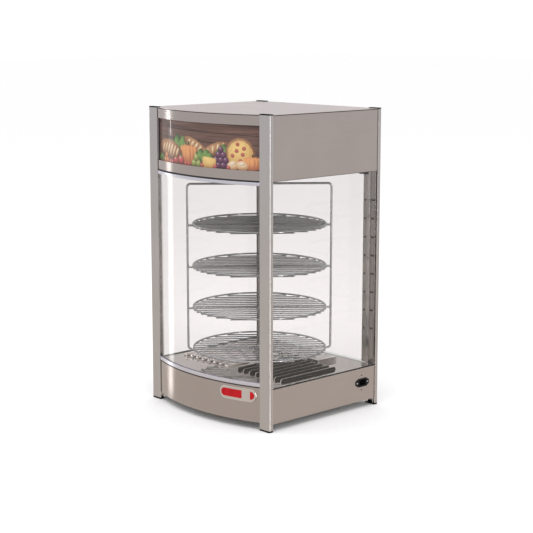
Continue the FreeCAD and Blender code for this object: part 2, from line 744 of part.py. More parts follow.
def turn_to_rest(solid, height):
    """Stand a piece of the rack, modelled round its own axis, at its place in the cabin."""
    solid.Placement.Rotation = FreeCAD.Rotation(UP, rack_turn.value)
    place(solid, 0, rack_y, height)


SHELVES = 4
HUB_RADIUS, HUB_HIGH, HUB_SET = 16, 14, 0.8
NECK_RADIUS, NECK_FOOT, AXLE_FOOT = 9, 36, 58
BUSH_HIGH = 5


def hoop():
    """A closed rod frame whose foot carries the lowest shelf."""
    foot = first_shelf - ring_wire - hoop_wire
    straight = hoop_half - hoop_bend
    height = hoop_top - foot
    path = [rod(hoop_wire, straight * 2, "x", -straight, 0, z) for z in (Size.of(0), height)]
    for side in (-1, 1):
        path.append(rod(hoop_wire, height - hoop_bend * 2, "z", side * hoop_half, 0, hoop_bend))
    quarters = [(1, 1, 0), (-1, 1, 90), (-1, -1, 180), (1, -1, 270)]
    for side, end, turn in quarters:
        bend = doc.addObject("Part::Torus", "bend")
        bend.Angle3 = 90
        upright = FreeCAD.Rotation(V(1, 0, 0), 90)
        bend.Placement.Rotation = upright * FreeCAD.Rotation(UP, turn)
        bind(bend, Radius1=hoop_bend, Radius2=hoop_wire)
        z = height - hoop_bend if end > 0 else hoop_bend
        path.append(place(bend, side * straight, 0, z))
    frame = fuse(*path)
    turn_to_rest(frame, foot)
    return frame


def cross_rods():
    """Rods between the hoop's uprights, one under each of the other shelves."""
    half = hoop_half - hoop_wire
    rods = [rod(hoop_wire, half * 2, "x", -half, 0, shelf_pitch * number)
            for number in range(1, SHELVES)]
    frame = group(*rods)
    turn_to_rest(frame, first_shelf - ring_wire - hoop_wire)
    return frame


def make_rack():
    node("rack_hoop", hoop())
    node("cross_rods", cross_rods())
    for number in range(SHELVES):
        node(f"shelf_{number + 1}", shelf(first_shelf + shelf_pitch * number))
    rod_level = first_shelf - ring_wire - hoop_wire
    disc = rod(HUB_RADIUS, HUB_HIGH - HUB_SET, "z", 0, 0, -HUB_HIGH)
    neck = rod(NECK_RADIUS, NECK_FOOT - HUB_HIGH + OVER, "z", 0, 0, -NECK_FOOT)
    axle = rod(shaft_radius, AXLE_FOOT - NECK_FOOT + OVER, "z", 0, 0, -AXLE_FOOT)
    saddle = rod(hoop_wire + running, HUB_RADIUS * 2 + OVER * 2, "x", -HUB_RADIUS - OVER, 0, 0)
    hub = cut(fuse(disc, neck, axle), saddle)
    turn_to_rest(hub, rod_level)
    node("drive_hub", hub)
    foot = floor_foot - sheet_metal
    sleeve = rod(bush_radius, BUSH_HIGH, "z", 0, rack_y, foot)
    bore = rod(shaft_radius + running, BUSH_HIGH + OVER * 2, "z", 0, rack_y, foot - OVER)
    node("shaft_bush", cut(sleeve, bore))


FLANGE_HALF, FLANGE_DEEP, FLANGE_THICK = 45, 26, 2
GEARBOX_HALF, GEARBOX_DEEP, GEARBOX_HIGH = 34, 24, 36
MOTOR_RADIUS, MOTOR_X, MOTOR_HIGH = 21, 8, 40
SOCKET_DEEP = 18


def make_gearmotor():
    """The slow gearmotor that hangs under the cabin floor and turns the rack."""
    top = floor_foot - sheet_metal
    flange = box((-FLANGE_HALF, FLANGE_HALF), (rack_y - FLANGE_DEEP, rack_y + FLANGE_DEEP),
                 (top - FLANGE_THICK, top))
    gearbox = box((-GEARBOX_HALF, GEARBOX_HALF), (rack_y - GEARBOX_DEEP, rack_y + GEARBOX_DEEP),
                  (top - GEARBOX_HIGH, top - FLANGE_THICK))
    motor = rod(MOTOR_RADIUS, MOTOR_HIGH, "z", MOTOR_X, rack_y, top - GEARBOX_HIGH - MOTOR_HIGH)
    socket = rod(shaft_radius + running, SOCKET_DEEP + OVER, "z", 0, rack_y, top - SOCKET_DEEP)
    node("gearmotor", cut(fuse(flange, gearbox, motor), socket))


HEATER_X, HEATER_FRONT, HEATER_REAR, HEATER_Z = 165, -125, 68, 76
HEATER_BEND, HEATER_TUBE, HEATER_GAP = 28, 4, 60
CLIP_X, CLIP_HALF, CLIP_DEEP, CLIP_OVER = 90, 5, 8, 2


def make_heater():
    """A tubular heating element bent round the gearmotor, held by two clips on the bottom."""
    in_x, low, high = HEATER_X - HEATER_BEND, HEATER_FRONT + HEATER_BEND, HEATER_REAR - HEATER_BEND
    tubes = [rod(HEATER_TUBE, in_x * 2, "x", -in_x, HEATER_FRONT, HEATER_Z)]
    for side, turns in ((-1, (180, 90)), (1, (270, 0))):
        tubes.append(rod(HEATER_TUBE, high - low, "y", side * HEATER_X, low, HEATER_Z))
        for y, turn in zip((low, high), turns):
            tubes.append(ring(HEATER_BEND, HEATER_TUBE, side * in_x, y, HEATER_Z, 90, turn))
        start = min(side * in_x, side * HEATER_GAP)
        tubes.append(rod(HEATER_TUBE, in_x - HEATER_GAP, "x", start, HEATER_REAR, HEATER_Z))
    node("heating_element", fuse(*tubes))
    clips = []
    for side in (-1, 1):
        x = side * CLIP_X
        bore = HEATER_TUBE + slack / 2
        through = (x - CLIP_HALF - OVER, x + CLIP_HALF + OVER)
        stem = box((x - CLIP_HALF, x + CLIP_HALF), (HEATER_FRONT - CLIP_DEEP, HEATER_FRONT + CLIP_DEEP),
                   (panel_foot + sheet_metal, HEATER_Z + CLIP_OVER))
        room = rod(bore, (CLIP_HALF + OVER) * 2, "x", x - CLIP_HALF - OVER, HEATER_FRONT, HEATER_Z)
        slot = box(through, (HEATER_FRONT - bore, HEATER_FRONT + bore),
                   (HEATER_Z, HEATER_Z + CLIP_OVER + OVER))
        clips.append(cut(stem, room, slot))
    node("element_clips", group(*clips))


BODY_HALF_X, BODY_HALF_Z, BODY_DEEP = 9, 13, 22
BEZEL_HALF_X, BEZEL_HALF_Z, BEZEL_THICK = 11, 15, 2
ROCKER_HALF_X, ROCKER_HALF_Z, ROCKER_ROOM, ROOM_DEEP = 7.8, 11, 0.4, 9
PIVOT_IN, PIVOT_RADIUS, PIVOT_HALF = 3.2, 1.5, 8.6
STEM, STEM_IN, STEM_HOLE = 3, 14, 5
THERMOSTAT_HALF_X, THERMOSTAT_HALF_Z, THERMOSTAT_DEEP = 20, 18, 36
SKIRT_OVER, SKIRT_THICK, SKIRT_GAP = 2, 3, 1
BARREL_IN, GRIP_HALF, GRIP_LONG = 3, 4.5, 18
switches = [rocker_x + rocker_step * number for number in range(2)]


def control_openings():
    """Cutters for the thermostat's shaft and the two switches."""
    through = (rear_face - sheet_metal - OVER, rear_face + OVER)
    tools = [rod(STEM_HOLE, sheet_metal + OVER * 2, "y", knob_x, through[0], control_z)]
    for x in switches:
        tools.append(box((x - BODY_HALF_X, x + BODY_HALF_X), through,
                         (control_z - BODY_HALF_Z, control_z + BODY_HALF_Z)))
    return tools


def make_controls():
    back = box((knob_x - THERMOSTAT_HALF_X, knob_x + THERMOSTAT_HALF_X),
               (rear_face - THERMOSTAT_DEEP, rear_face - sheet_metal),
               (control_z - THERMOSTAT_HALF_Z, control_z + THERMOSTAT_HALF_Z))
    bore = rod(STEM + running, STEM_IN + OVER * 2, "y", knob_x, rear_face - STEM_IN - OVER, control_z)
    node("thermostat", cut(back, bore))
    front = rear_face + SKIRT_GAP
    face = front + SKIRT_THICK
    tip = front_bulge + trim_proud
    skirt = rod(knob_radius + SKIRT_OVER, SKIRT_THICK, "y", knob_x, front, control_z)
    barrel = rod(knob_radius - BARREL_IN, tip - face, "y", knob_x, face, control_z)
    grip_reach = knob_radius - slack
    grip = box((knob_x - GRIP_HALF, knob_x + GRIP_HALF), (face, tip),
               (control_z - grip_reach, control_z + grip_reach))
    scoops = []
    for side in (-1, 1):
        near, far = span(side * GRIP_HALF, side * (knob_radius + OVER))
        scoops.append(box((knob_x + near, knob_x + far), (tip - GRIP_LONG, tip + OVER),
                          (control_z - knob_radius - OVER, control_z + knob_radius + OVER)))
    axle = rod(STEM, STEM_IN + SKIRT_GAP + OVER, "y", knob_x, rear_face - STEM_IN, control_z)
    node("thermostat_knob", fuse(skirt, cut(barrel, *scoops), grip, axle))
    housings = []
    for x, label in zip(switches, ("rocker_heat", "rocker_light")):
        housings.append(switch_housing(x))
        node(label, rocker(x))
    node("switch_housings", group(*housings))


def switch_housing(x):
    """The frame and shell of one switch, with a bearing on each side for the rocker's pin."""
    wide, tall = BODY_HALF_X - slack, BODY_HALF_Z - slack
    room_x, room_z = ROCKER_HALF_X + ROCKER_ROOM, ROCKER_HALF_Z + OVER
    bezel = box((x - BEZEL_HALF_X, x + BEZEL_HALF_X), (rear_face, rear_face + BEZEL_THICK),
                (control_z - BEZEL_HALF_Z, control_z + BEZEL_HALF_Z))
    shell = box((x - wide, x + wide), (rear_face - BODY_DEEP, rear_face),
                (control_z - tall, control_z + tall))
    room = box((x - room_x, x + room_x), (rear_face - ROOM_DEEP, rear_face + BEZEL_THICK + OVER),
               (control_z - room_z, control_z + room_z))
    bearing = rod(PIVOT_RADIUS + running, wide * 2 + OVER * 2, "x", x - wide - OVER,
                  rear_face - PIVOT_IN, control_z)
    return cut(fuse(bezel, shell), room, bearing)


def rocker(x):
    """A rocker with two faces that meet over its pin, tilted to its off position."""
    body = new_body("rocker")
    sketch = new_sketch(body, -ROCKER_HALF_X, "YZ_Plane")
    out, ridge, back, keel, taper = 6.4, 4.6, -2.5, -4.5, 1.5
    tall = ROCKER_HALF_Z
    draw_polygon(sketch, [(ridge, 0), (out, tall), (back, tall - taper), (keel, 0),
                          (back, taper - tall), (out, -tall)])
    pad(body, sketch, ROCKER_HALF_X * 2)
    body.Placement.Rotation = FreeCAD.Rotation(V(1, 0, 0), rocker_tilt.value)
    place(body, x, rear_face - PIVOT_IN, control_z)
    pin = rod(PIVOT_RADIUS, PIVOT_HALF * 2, "x", x - PIVOT_HALF, rear_face - PIVOT_IN, control_z)
    return fuse(body, pin)


CUT_HALF_Y, CUT_HALF_Z = 13.8, 10
SHELL_HALF_Y, SHELL_HALF_Z, SHELL_DEEP = 13.5, 9.8, 24
SOCKET_HALF_Y, SOCKET_HALF_Z, SOCKET_IN = 12, 8.2, 15
CLAMP_HOLE, CLAMP_OFF = 2, 2
EAR_HALF, WAIST, EAR, FLANGE_TALL, INLET_FLANGE = 25, 14.5, 5, 11.5, 2
COUNTERSINK, SINK_FROM = 3.1, 0.8
BLADE_HALF_Y, BLADE_HALF_Z, BLADE_IN, BLADE_FRONT = 1, 2, 20, 2
BLADES = ((-7, -2), (0, 3), (7, -2))
SHANK_LONG = 5


def inlet_openings():
    """Cutters for the power inlet, its screws and the two cord clamp holes above and below it."""
    inside = side_out - sheet_metal - OVER
    through = sheet_metal + OVER * 2
    tools = [box((inside, side_out + OVER), (inlet_y - CUT_HALF_Y, inlet_y + CUT_HALF_Y),
                 (inlet_z - CUT_HALF_Z, inlet_z + CUT_HALF_Z))]
    for end in (-1, 1):
        off = end * inlet_screws / 2
        tools.append(rod(CLAMP_HOLE, through, "x", inside, inlet_y - CLAMP_OFF, inlet_z + off))
        tools.append(rod(SCREW_HOLE, through, "x", inside, inlet_y + off, inlet_z))
    return tools


def make_inlet():
    """A panel power inlet with its flange across, its socket and three blades."""
    body = new_body("flange")
    sketch = new_sketch(body, side_out, "YZ_Plane")
    outline = [(EAR_HALF, -EAR), (EAR_HALF, EAR), (WAIST, FLANGE_TALL), (-WAIST, FLANGE_TALL),
               (-EAR_HALF, EAR), (-EAR_HALF, -EAR), (-WAIST, -FLANGE_TALL), (WAIST, -FLANGE_TALL)]
    draw_polygon(sketch, [(inlet_y + y, inlet_z + z) for y, z in outline])
    pad(body, sketch, INLET_FLANGE)
    shell = box((side_out - SHELL_DEEP, side_out), (inlet_y - SHELL_HALF_Y, inlet_y + SHELL_HALF_Y),
                (inlet_z - SHELL_HALF_Z, inlet_z + SHELL_HALF_Z))
    room = box((side_out - SOCKET_IN, side_out + INLET_FLANGE + OVER),
               (inlet_y - SOCKET_HALF_Y, inlet_y + SOCKET_HALF_Y),
               (inlet_z - SOCKET_HALF_Z, inlet_z + SOCKET_HALF_Z))
    screw_holes = []
    for end in (-1, 1):
        y = inlet_y + end * inlet_screws / 2
        screw_holes.append(rod(SCREW_HOLE, INLET_FLANGE + OVER * 2, "x", side_out - OVER, y, inlet_z))
        screw_holes.append(rod(COUNTERSINK, INLET_FLANGE, "x", side_out + SINK_FROM, y, inlet_z))
    blades = []
    for y, z in BLADES:
        blades.append(box((side_out - BLADE_IN, side_out - BLADE_FRONT),
                          (inlet_y + y - BLADE_HALF_Y, inlet_y + y + BLADE_HALF_Y),
                          (inlet_z + z - BLADE_HALF_Z, inlet_z + z + BLADE_HALF_Z)))
    node("power_inlet", fuse(cut(fuse(body, shell), room, *screw_holes), *blades))


def make_badge():
    """A blank oval-ended plate on the base's curved front."""
    proud, reach = 2, 0.7
    half = badge_long / 2 - badge_high / 2
    length = case_depth / 2
    start = -case_depth * reach
    ends = [rod(badge_high / 2, length, "y", badge_x + side * half, start, badge_z)
            for side in (-1, 1)]
    middle = box((badge_x - half, badge_x + half), (start, start + length),
                 (badge_z - badge_high / 2, badge_z + badge_high / 2))
    shell = curved_plate(front_radius + slack / 10 + proud, proud, post_in, floor_top / 2, floor_top)
    node("name_badge", common(shell, fuse(middle, *ends)))


def make_screws():
    """The inlet's screws, sunk in its flange, and those of the roof and of the cabin floor."""
    screws = []
    for end in (-1, 1):
        y = inlet_y + end * inlet_screws / 2
        head = rod(SCREW_HEAD, HEAD_HIGH, "x", side_out + SINK_FROM, y, inlet_z)
        shank = rod(SCREW_SHANK, SHANK_LONG, "x", side_out + SINK_FROM - SHANK_LONG, y, inlet_z)
        screws.append(fuse(head, shank))
    tops = [(x, roof_screw_y, roof_top) for x in ROOF_SCREWS]
    tops.extend((x, y, floor_top) for x, y in FLOOR_SCREWS)
    for x, y, face in tops:
        head = rod(SCREW_HEAD, HEAD_HIGH, "z", x, y, face)
        shank = rod(SCREW_SHANK, SHANK_LONG, "z", x, y, face - SHANK_LONG)
        screws.append(fuse(head, shank))
    node("panel_screws", group(*screws))


def check_and_export():
    doc.recompute()
    for obj in doc.Objects:
        bad = [state for state in obj.State if state in ("Invalid", "Error")]
        if bad:
            raise RuntimeError(f"{obj.Name} ({obj.Label}) is {bad}")
    for obj in nodes:
        shape = obj.Shape
        if shape.isNull() or not shape.isValid() or shape.Volume <= 0:
            raise RuntimeError(f"{obj.Label} has no valid shape")
        shape.exportStep(f"parts/{obj.Label}.step")
        bounds = shape.BoundBox
        low = f"{bounds.XMin:8.1f} {bounds.YMin:8.1f} {bounds.ZMin:8.1f}"
        high = f"{bounds.XMax:8.1f} {bounds.YMax:8.1f} {bounds.ZMax:8.1f}"
        print(f"{obj.Label:24s} {len(shape.Solids):3d} solids {shape.Volume / 1000:9.2f} cm3 {low} {high}")
    print(len(nodes), "nodes")


make_posts()
make_caps("post_caps", case_height - cap_thick, case_height)
make_caps("post_feet", Size.of(0), foot_thick)
make_base()
make_floor()
make_pan()
make_header()
make_lamp()
make_glazing()
make_door()
make_rack()
make_gearmotor()
make_heater()
make_controls()
make_inlet()
make_badge()
make_screws()
check_and_export()
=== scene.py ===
import math
import random

import bmesh
import bpy
from mathutils import Matrix, Quaternion, Vector
from mathutils.bvhtree import BVHTree


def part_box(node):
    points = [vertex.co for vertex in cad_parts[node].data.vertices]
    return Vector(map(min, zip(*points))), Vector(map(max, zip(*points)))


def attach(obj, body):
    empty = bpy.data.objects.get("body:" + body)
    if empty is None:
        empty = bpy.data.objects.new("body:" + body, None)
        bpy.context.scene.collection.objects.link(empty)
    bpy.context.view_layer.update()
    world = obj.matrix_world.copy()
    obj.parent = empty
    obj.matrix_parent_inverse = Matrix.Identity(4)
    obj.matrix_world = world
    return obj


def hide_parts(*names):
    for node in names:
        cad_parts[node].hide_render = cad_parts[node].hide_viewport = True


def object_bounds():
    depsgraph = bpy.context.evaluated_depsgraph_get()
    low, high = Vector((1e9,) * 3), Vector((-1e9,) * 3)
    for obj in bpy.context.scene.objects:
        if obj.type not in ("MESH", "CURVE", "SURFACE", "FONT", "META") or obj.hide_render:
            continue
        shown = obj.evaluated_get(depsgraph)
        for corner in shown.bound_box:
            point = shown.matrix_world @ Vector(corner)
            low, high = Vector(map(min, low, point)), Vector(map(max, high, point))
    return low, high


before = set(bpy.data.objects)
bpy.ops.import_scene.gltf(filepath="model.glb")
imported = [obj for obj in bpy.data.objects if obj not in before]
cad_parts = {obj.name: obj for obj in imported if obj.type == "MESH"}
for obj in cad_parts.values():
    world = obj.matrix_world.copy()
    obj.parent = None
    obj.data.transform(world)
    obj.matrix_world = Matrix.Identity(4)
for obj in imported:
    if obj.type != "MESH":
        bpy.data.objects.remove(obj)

cad_low, cad_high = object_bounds()
random.seed(7)

# ---------------------------------------------------------------------------
# Node trees
# ---------------------------------------------------------------------------


class Nodes:
    """A node tree, with one short call for each kind of node that the materials use.

    rescale(value, low, high, new_low, new_high) is clamped, so it also serves as a soft threshold.
    """

    def __init__(self, tree):
        self.tree = tree

    def add(self, kind, inputs=None, **settings):
        node = self.tree.nodes.new(kind)
        for name, value in settings.items():
            setattr(node, name, value)
        for key, value in (inputs or {}).items():
            self.feed(node.inputs[key], value)
        return node

    def feed(self, socket, value):
        if isinstance(value, bpy.types.NodeSocket):
            self.tree.links.new(value, socket)
        else:
            socket.default_value = value

    def place(self):
        """Where a point is in the row frame while its piece is at rest, in metres."""
        return self.add("ShaderNodeTexCoord").outputs["Object"]

    def mapped(self, vector, location=(0, 0, 0), rotation=(0, 0, 0), scale=(1, 1, 1), kind="POINT"):
        return self.add("ShaderNodeMapping", {
            "Vector": vector, "Location": location, "Rotation": rotation, "Scale": scale,
        }, vector_type=kind).outputs[0]

    def noise(self, vector, scale, detail=2.0, roughness=0.5):
        return self.add("ShaderNodeTexNoise", {
            "Vector": vector, "Scale": scale, "Detail": detail, "Roughness": roughness,
        }).outputs[0]

    def cells(self, vector, scale, feature="F1"):
        return self.add("ShaderNodeTexVoronoi", {
            "Vector": vector, "Scale": scale}, feature=feature).outputs[0]

    def math(self, operation, first, second=0.0, third=0.0):
        node = self.add("ShaderNodeMath", operation=operation)
        for socket, value in zip(node.inputs, (first, second, third)):
            self.feed(socket, value)
        return node.outputs[0]

    def vector_math(self, operation, first, second=(0, 0, 0), output=0):
        node = self.add("ShaderNodeVectorMath", operation=operation)
        self.feed(node.inputs[0], first)
        self.feed(node.inputs[1], second)
        return node.outputs[output]

    def axes(self, vector):
        return self.add("ShaderNodeSeparateXYZ", {0: vector}).outputs

    def join(self, x, y, z):
        return self.add("ShaderNodeCombineXYZ", {0: x, 1: y, 2: z}).outputs[0]

    def rescale(self, value, low, high, new_low, new_high, smooth=False):
        return self.add("ShaderNodeMapRange", {
            "Value": value, "From Min": low, "From Max": high,
            "To Min": new_low, "To Max": new_high,
        }, interpolation_type="SMOOTHSTEP" if smooth else "LINEAR").outputs[0]

    def mix(self, share, first, second, blend="MIX"):
        node = self.add("ShaderNodeMix", data_type="RGBA", blend_type=blend)
        self.feed(node.inputs[0], share)
        self.feed(node.inputs[6], first)
        self.feed(node.inputs[7], second)
        return node.outputs[2]

    def bump(self, height, strength, distance):
        return self.add("ShaderNodeBump", {
            "Height": height, "Strength": strength, "Distance": distance}).outputs[0]


def colour(red, green, blue):
    return (red, green, blue, 1.0)


def shade(rgba, factor):
    return tuple(min(1.0, c * factor) for c in rgba[:3]) + (1.0,)


def new_material(name):
    material = bpy.data.materials.new(name)
    material.use_nodes = True
    material.node_tree.nodes.clear()
    return material, Nodes(material.node_tree)


def principled(nodes, **inputs):
    """The surface shader; a name's underscores stand for the spaces in its socket's name."""
    sockets = {name.replace("_", " "): value for name, value in inputs.items()}
    shader = nodes.add("ShaderNodeBsdfPrincipled", sockets)
    nodes.add("ShaderNodeOutputMaterial", {"Surface": shader.outputs[0]})


# ---------------------------------------------------------------------------
# Metals. Noise is scaled in repeats per metre, and bump heights are in metres.
# ---------------------------------------------------------------------------

GRAIN = {"x": (0.02, 1, 1), "y": (1, 0.02, 1), "z": (1, 1, 0.02)}


def brushed(name, tone, grain, roughness, scratch=0.05, height=0.00002, warm=0.04):
    """Sheet or extruded metal with a fine grain along one row axis and faint handling marks."""
    material, nodes = new_material(name)
    place = nodes.place()
    along = nodes.mapped(place, scale=GRAIN[grain])
    fine = nodes.noise(along, 2600, 3, 0.7)
    broad = nodes.noise(along, 420, 2, 0.5)
    smudge = nodes.noise(place, 9, 4, 0.6)
    streaks = nodes.mix(0.4, fine, broad)
    tint = nodes.mix(nodes.rescale(smudge, 0.3, 0.7, 0, 1), shade(tone, 1 - warm), tone)
    colours = nodes.mix(nodes.rescale(streaks, 0.3, 0.7, 0, 0.12), tint, shade(tone, 0.6))
    worn = nodes.rescale(streaks, 0.25, 0.75, roughness - scratch, roughness + scratch)
    rough = nodes.math("ADD", worn, nodes.rescale(smudge, 0.35, 0.75, -0.02, 0.04))
    principled(nodes, Base_Color=colours, Metallic=1.0, Roughness=rough,
               Normal=nodes.bump(streaks, 0.25, height))
    return material


def wire_metal(name, tone, roughness):
    """Plated wire: bright, with a faint mottle, and duller in patches where it has been washed."""
    material, nodes = new_material(name)
    place = nodes.place()
    mottle = nodes.noise(place, 240, 3, 0.6)
    patches = nodes.noise(place, 22, 3, 0.5)
    colours = nodes.mix(nodes.rescale(patches, 0.35, 0.7, 0, 0.5), tone, shade(tone, 0.72))
    speckled = nodes.rescale(mottle, 0.3, 0.7, roughness - 0.05, roughness + 0.07)
    rough = nodes.math("ADD", speckled, nodes.rescale(patches, 0.4, 0.7, 0, 0.08))
    principled(nodes, Base_Color=colours, Metallic=1.0, Roughness=rough,
               Normal=nodes.bump(mottle, 0.05, 0.00002))
    return material


def heat_stained_tube():
    """The heating element's alloy sheath, blued and browned by its own heat."""
    material, nodes = new_material("element_sheath")
    place = nodes.place()
    stain = nodes.noise(place, 30, 4, 0.65)
    colours = nodes.mix(nodes.rescale(stain, 0.3, 0.7, 0, 1, True),
                        colour(0.16, 0.12, 0.09), colour(0.20, 0.20, 0.24))
    principled(nodes, Base_Color=colours, Metallic=0.9,
               Roughness=nodes.rescale(nodes.noise(place, 300, 2), 0.3, 0.7, 0.38, 0.55),
               Normal=nodes.bump(nodes.noise(place, 700, 2), 0.3, 0.0001))
    return material


def sintered_bronze():
    """Bronze pressed from grains and soaked with oil, for the shaft's bush."""
    material, nodes = new_material("sintered_bronze")
    place = nodes.place()
    grains = nodes.cells(place, 2200)
    colours = nodes.mix(nodes.rescale(grains, 0, 0.7, 0, 1),
                        colour(0.36, 0.22, 0.10), colour(0.60, 0.40, 0.20))
    principled(nodes, Base_Color=colours, Metallic=0.9,
               Roughness=nodes.rescale(grains, 0, 0.7, 0.5, 0.3),
               Normal=nodes.bump(grains, 0.4, 0.00015))
    return material


def cast_metal():
    """The gearmotor's sand-grained zinc casting."""
    material, nodes = new_material("zinc_casting")
    place = nodes.place()
    sand = nodes.noise(place, 900, 4, 0.7)
    cloud = nodes.noise(place, 25, 3)
    colours = nodes.mix(nodes.rescale(cloud, 0.3, 0.7, 0, 1),
                        colour(0.30, 0.30, 0.31), colour(0.40, 0.40, 0.41))
    principled(nodes, Base_Color=colours, Metallic=0.85,
               Roughness=nodes.rescale(sand, 0.3, 0.7, 0.45, 0.65),
               Normal=nodes.bump(sand, 0.5, 0.0002))
    return material


# ---------------------------------------------------------------------------
# Plastics, rubber and glass
# ---------------------------------------------------------------------------


def moulded(name, tone, roughness, grain=0.00008, gloss=0.5):
    """Injection-moulded plastic with a spark-eroded grain and a little dust in its hollows."""
    material, nodes = new_material(name)
    place = nodes.place()
    texture = nodes.noise(place, 1500, 3, 0.7)
    dust = nodes.noise(place, 35, 4, 0.6)
    dusty = colour(*[channel * 0.8 + 0.03 for channel in tone[:3]])
    colours = nodes.mix(nodes.rescale(dust, 0.5, 0.8, 0, 0.35), tone, dusty)
    grained = nodes.rescale(texture, 0.3, 0.7, roughness - 0.06, roughness + 0.06)
    rough = nodes.math("ADD", grained, nodes.rescale(dust, 0.5, 0.8, 0, 0.08))
    principled(nodes, Base_Color=colours, Roughness=rough, Specular_IOR_Level=gloss,
               Normal=nodes.bump(texture, 0.4, grain))
    return material


def rubber():
    """Dull black rubber with a pale bloom on it in patches."""
    material, nodes = new_material("gasket_rubber")
    place = nodes.place()
    texture = nodes.noise(place, 1100, 4, 0.75)
    bloom = nodes.noise(place, 18, 3)
    colours = nodes.mix(nodes.rescale(bloom, 0.4, 0.8, 0, 0.6),
                        colour(0.012, 0.012, 0.014), colour(0.035, 0.034, 0.036))
    principled(nodes, Base_Color=colours, Roughness=nodes.rescale(texture, 0.3, 0.7, 0.62, 0.8),
               Specular_IOR_Level=0.35, Normal=nodes.bump(texture, 0.4, 0.0001))
    return material


# A face counts as a cut edge when its normal rises this steeply, as only the panes' edges do
STEEP = 0.7
GLASS_TINT, EDGE_TINT = colour(0.957, 0.949, 0.946), colour(0.30, 0.52, 0.44)
GLASS_IOR = 1.45
# How far from the middle of the lamp its greyed ends begin, and where they are greyest
TUBE_GREY_FROM, TUBE_GREY_TO = 0.125, 0.143


def clear_glass(name):
    """Thin float glass: clear across its faces, sea green at its level cut edges, faintly wiped."""
    material, nodes = new_material(name)
    place = nodes.place()
    wipes = nodes.noise(nodes.mapped(place, rotation=(0.3, 0.5, 0.2), scale=(1, 1, 0.25)), 14, 4, 0.6)
    mirror_rough = nodes.rescale(wipes, 0.45, 0.8, 0.0, 0.06)
    mirror = nodes.add("ShaderNodeBsdfGlossy", {"Color": colour(1, 1, 1), "Roughness": mirror_rough})
    geometry = nodes.add("ShaderNodeNewGeometry").outputs
    up = nodes.axes(geometry["True Normal"])[2]
    cut_edge = nodes.math("GREATER_THAN", nodes.math("ABSOLUTE", up), STEEP)
    through = nodes.add("ShaderNodeBsdfTransparent", {
        "Color": nodes.mix(cut_edge, GLASS_TINT, EDGE_TINT)})
    outward = nodes.math("SUBTRACT", 1.0, nodes.math("MULTIPLY", geometry["Backfacing"], 2.0))
    fresnel = nodes.add("ShaderNodeFresnel", {"IOR": nodes.math("POWER", GLASS_IOR, outward)})
    pane = nodes.add("ShaderNodeMixShader", {
        0: fresnel.outputs[0], 1: through.outputs[0], 2: mirror.outputs[0]})
    nodes.add("ShaderNodeOutputMaterial", {"Surface": pane.outputs[0]})
    return material


def frosted_tube():
    """The lamp's powder-coated tube, greyed near its two ends."""
    material, nodes = new_material("phosphor_tube")
    place = nodes.place()
    powder = nodes.noise(place, 800, 2)
    from_middle = nodes.math("ABSOLUTE", nodes.axes(place)[0])
    darkened = nodes.rescale(from_middle, TUBE_GREY_FROM, TUBE_GREY_TO, 0, 0.6, True)
    colours = nodes.mix(darkened, colour(0.92, 0.92, 0.90), colour(0.35, 0.34, 0.34))
    principled(nodes, Base_Color=colours, Roughness=nodes.rescale(powder, 0.3, 0.7, 0.16, 0.24),
               Coat_Weight=0.6, Coat_Roughness=0.05)
    return material


# ---------------------------------------------------------------------------
# The header's printed picture: planks with food in front, drawn with soft round shapes
# ---------------------------------------------------------------------------


SHAPE_INPUTS = (
    ("Plane", "NodeSocketVector"), ("Under", "NodeSocketColor"), ("Middle", "NodeSocketVector"),
    ("Turn", "NodeSocketVector"), ("Half", "NodeSocketVector"), ("Light", "NodeSocketColor"),
    ("Dark", "NodeSocketColor"), ("Ragged", "NodeSocketFloat"), ("Fleck", "NodeSocketFloat"),
    ("Square", "NodeSocketFloat"), ("Gloss", "NodeSocketFloat"))
# How little the plane is moved, and where a shape's glint is
HAIR = 1e-9
GLINT = (-0.3, 0.42, 0)


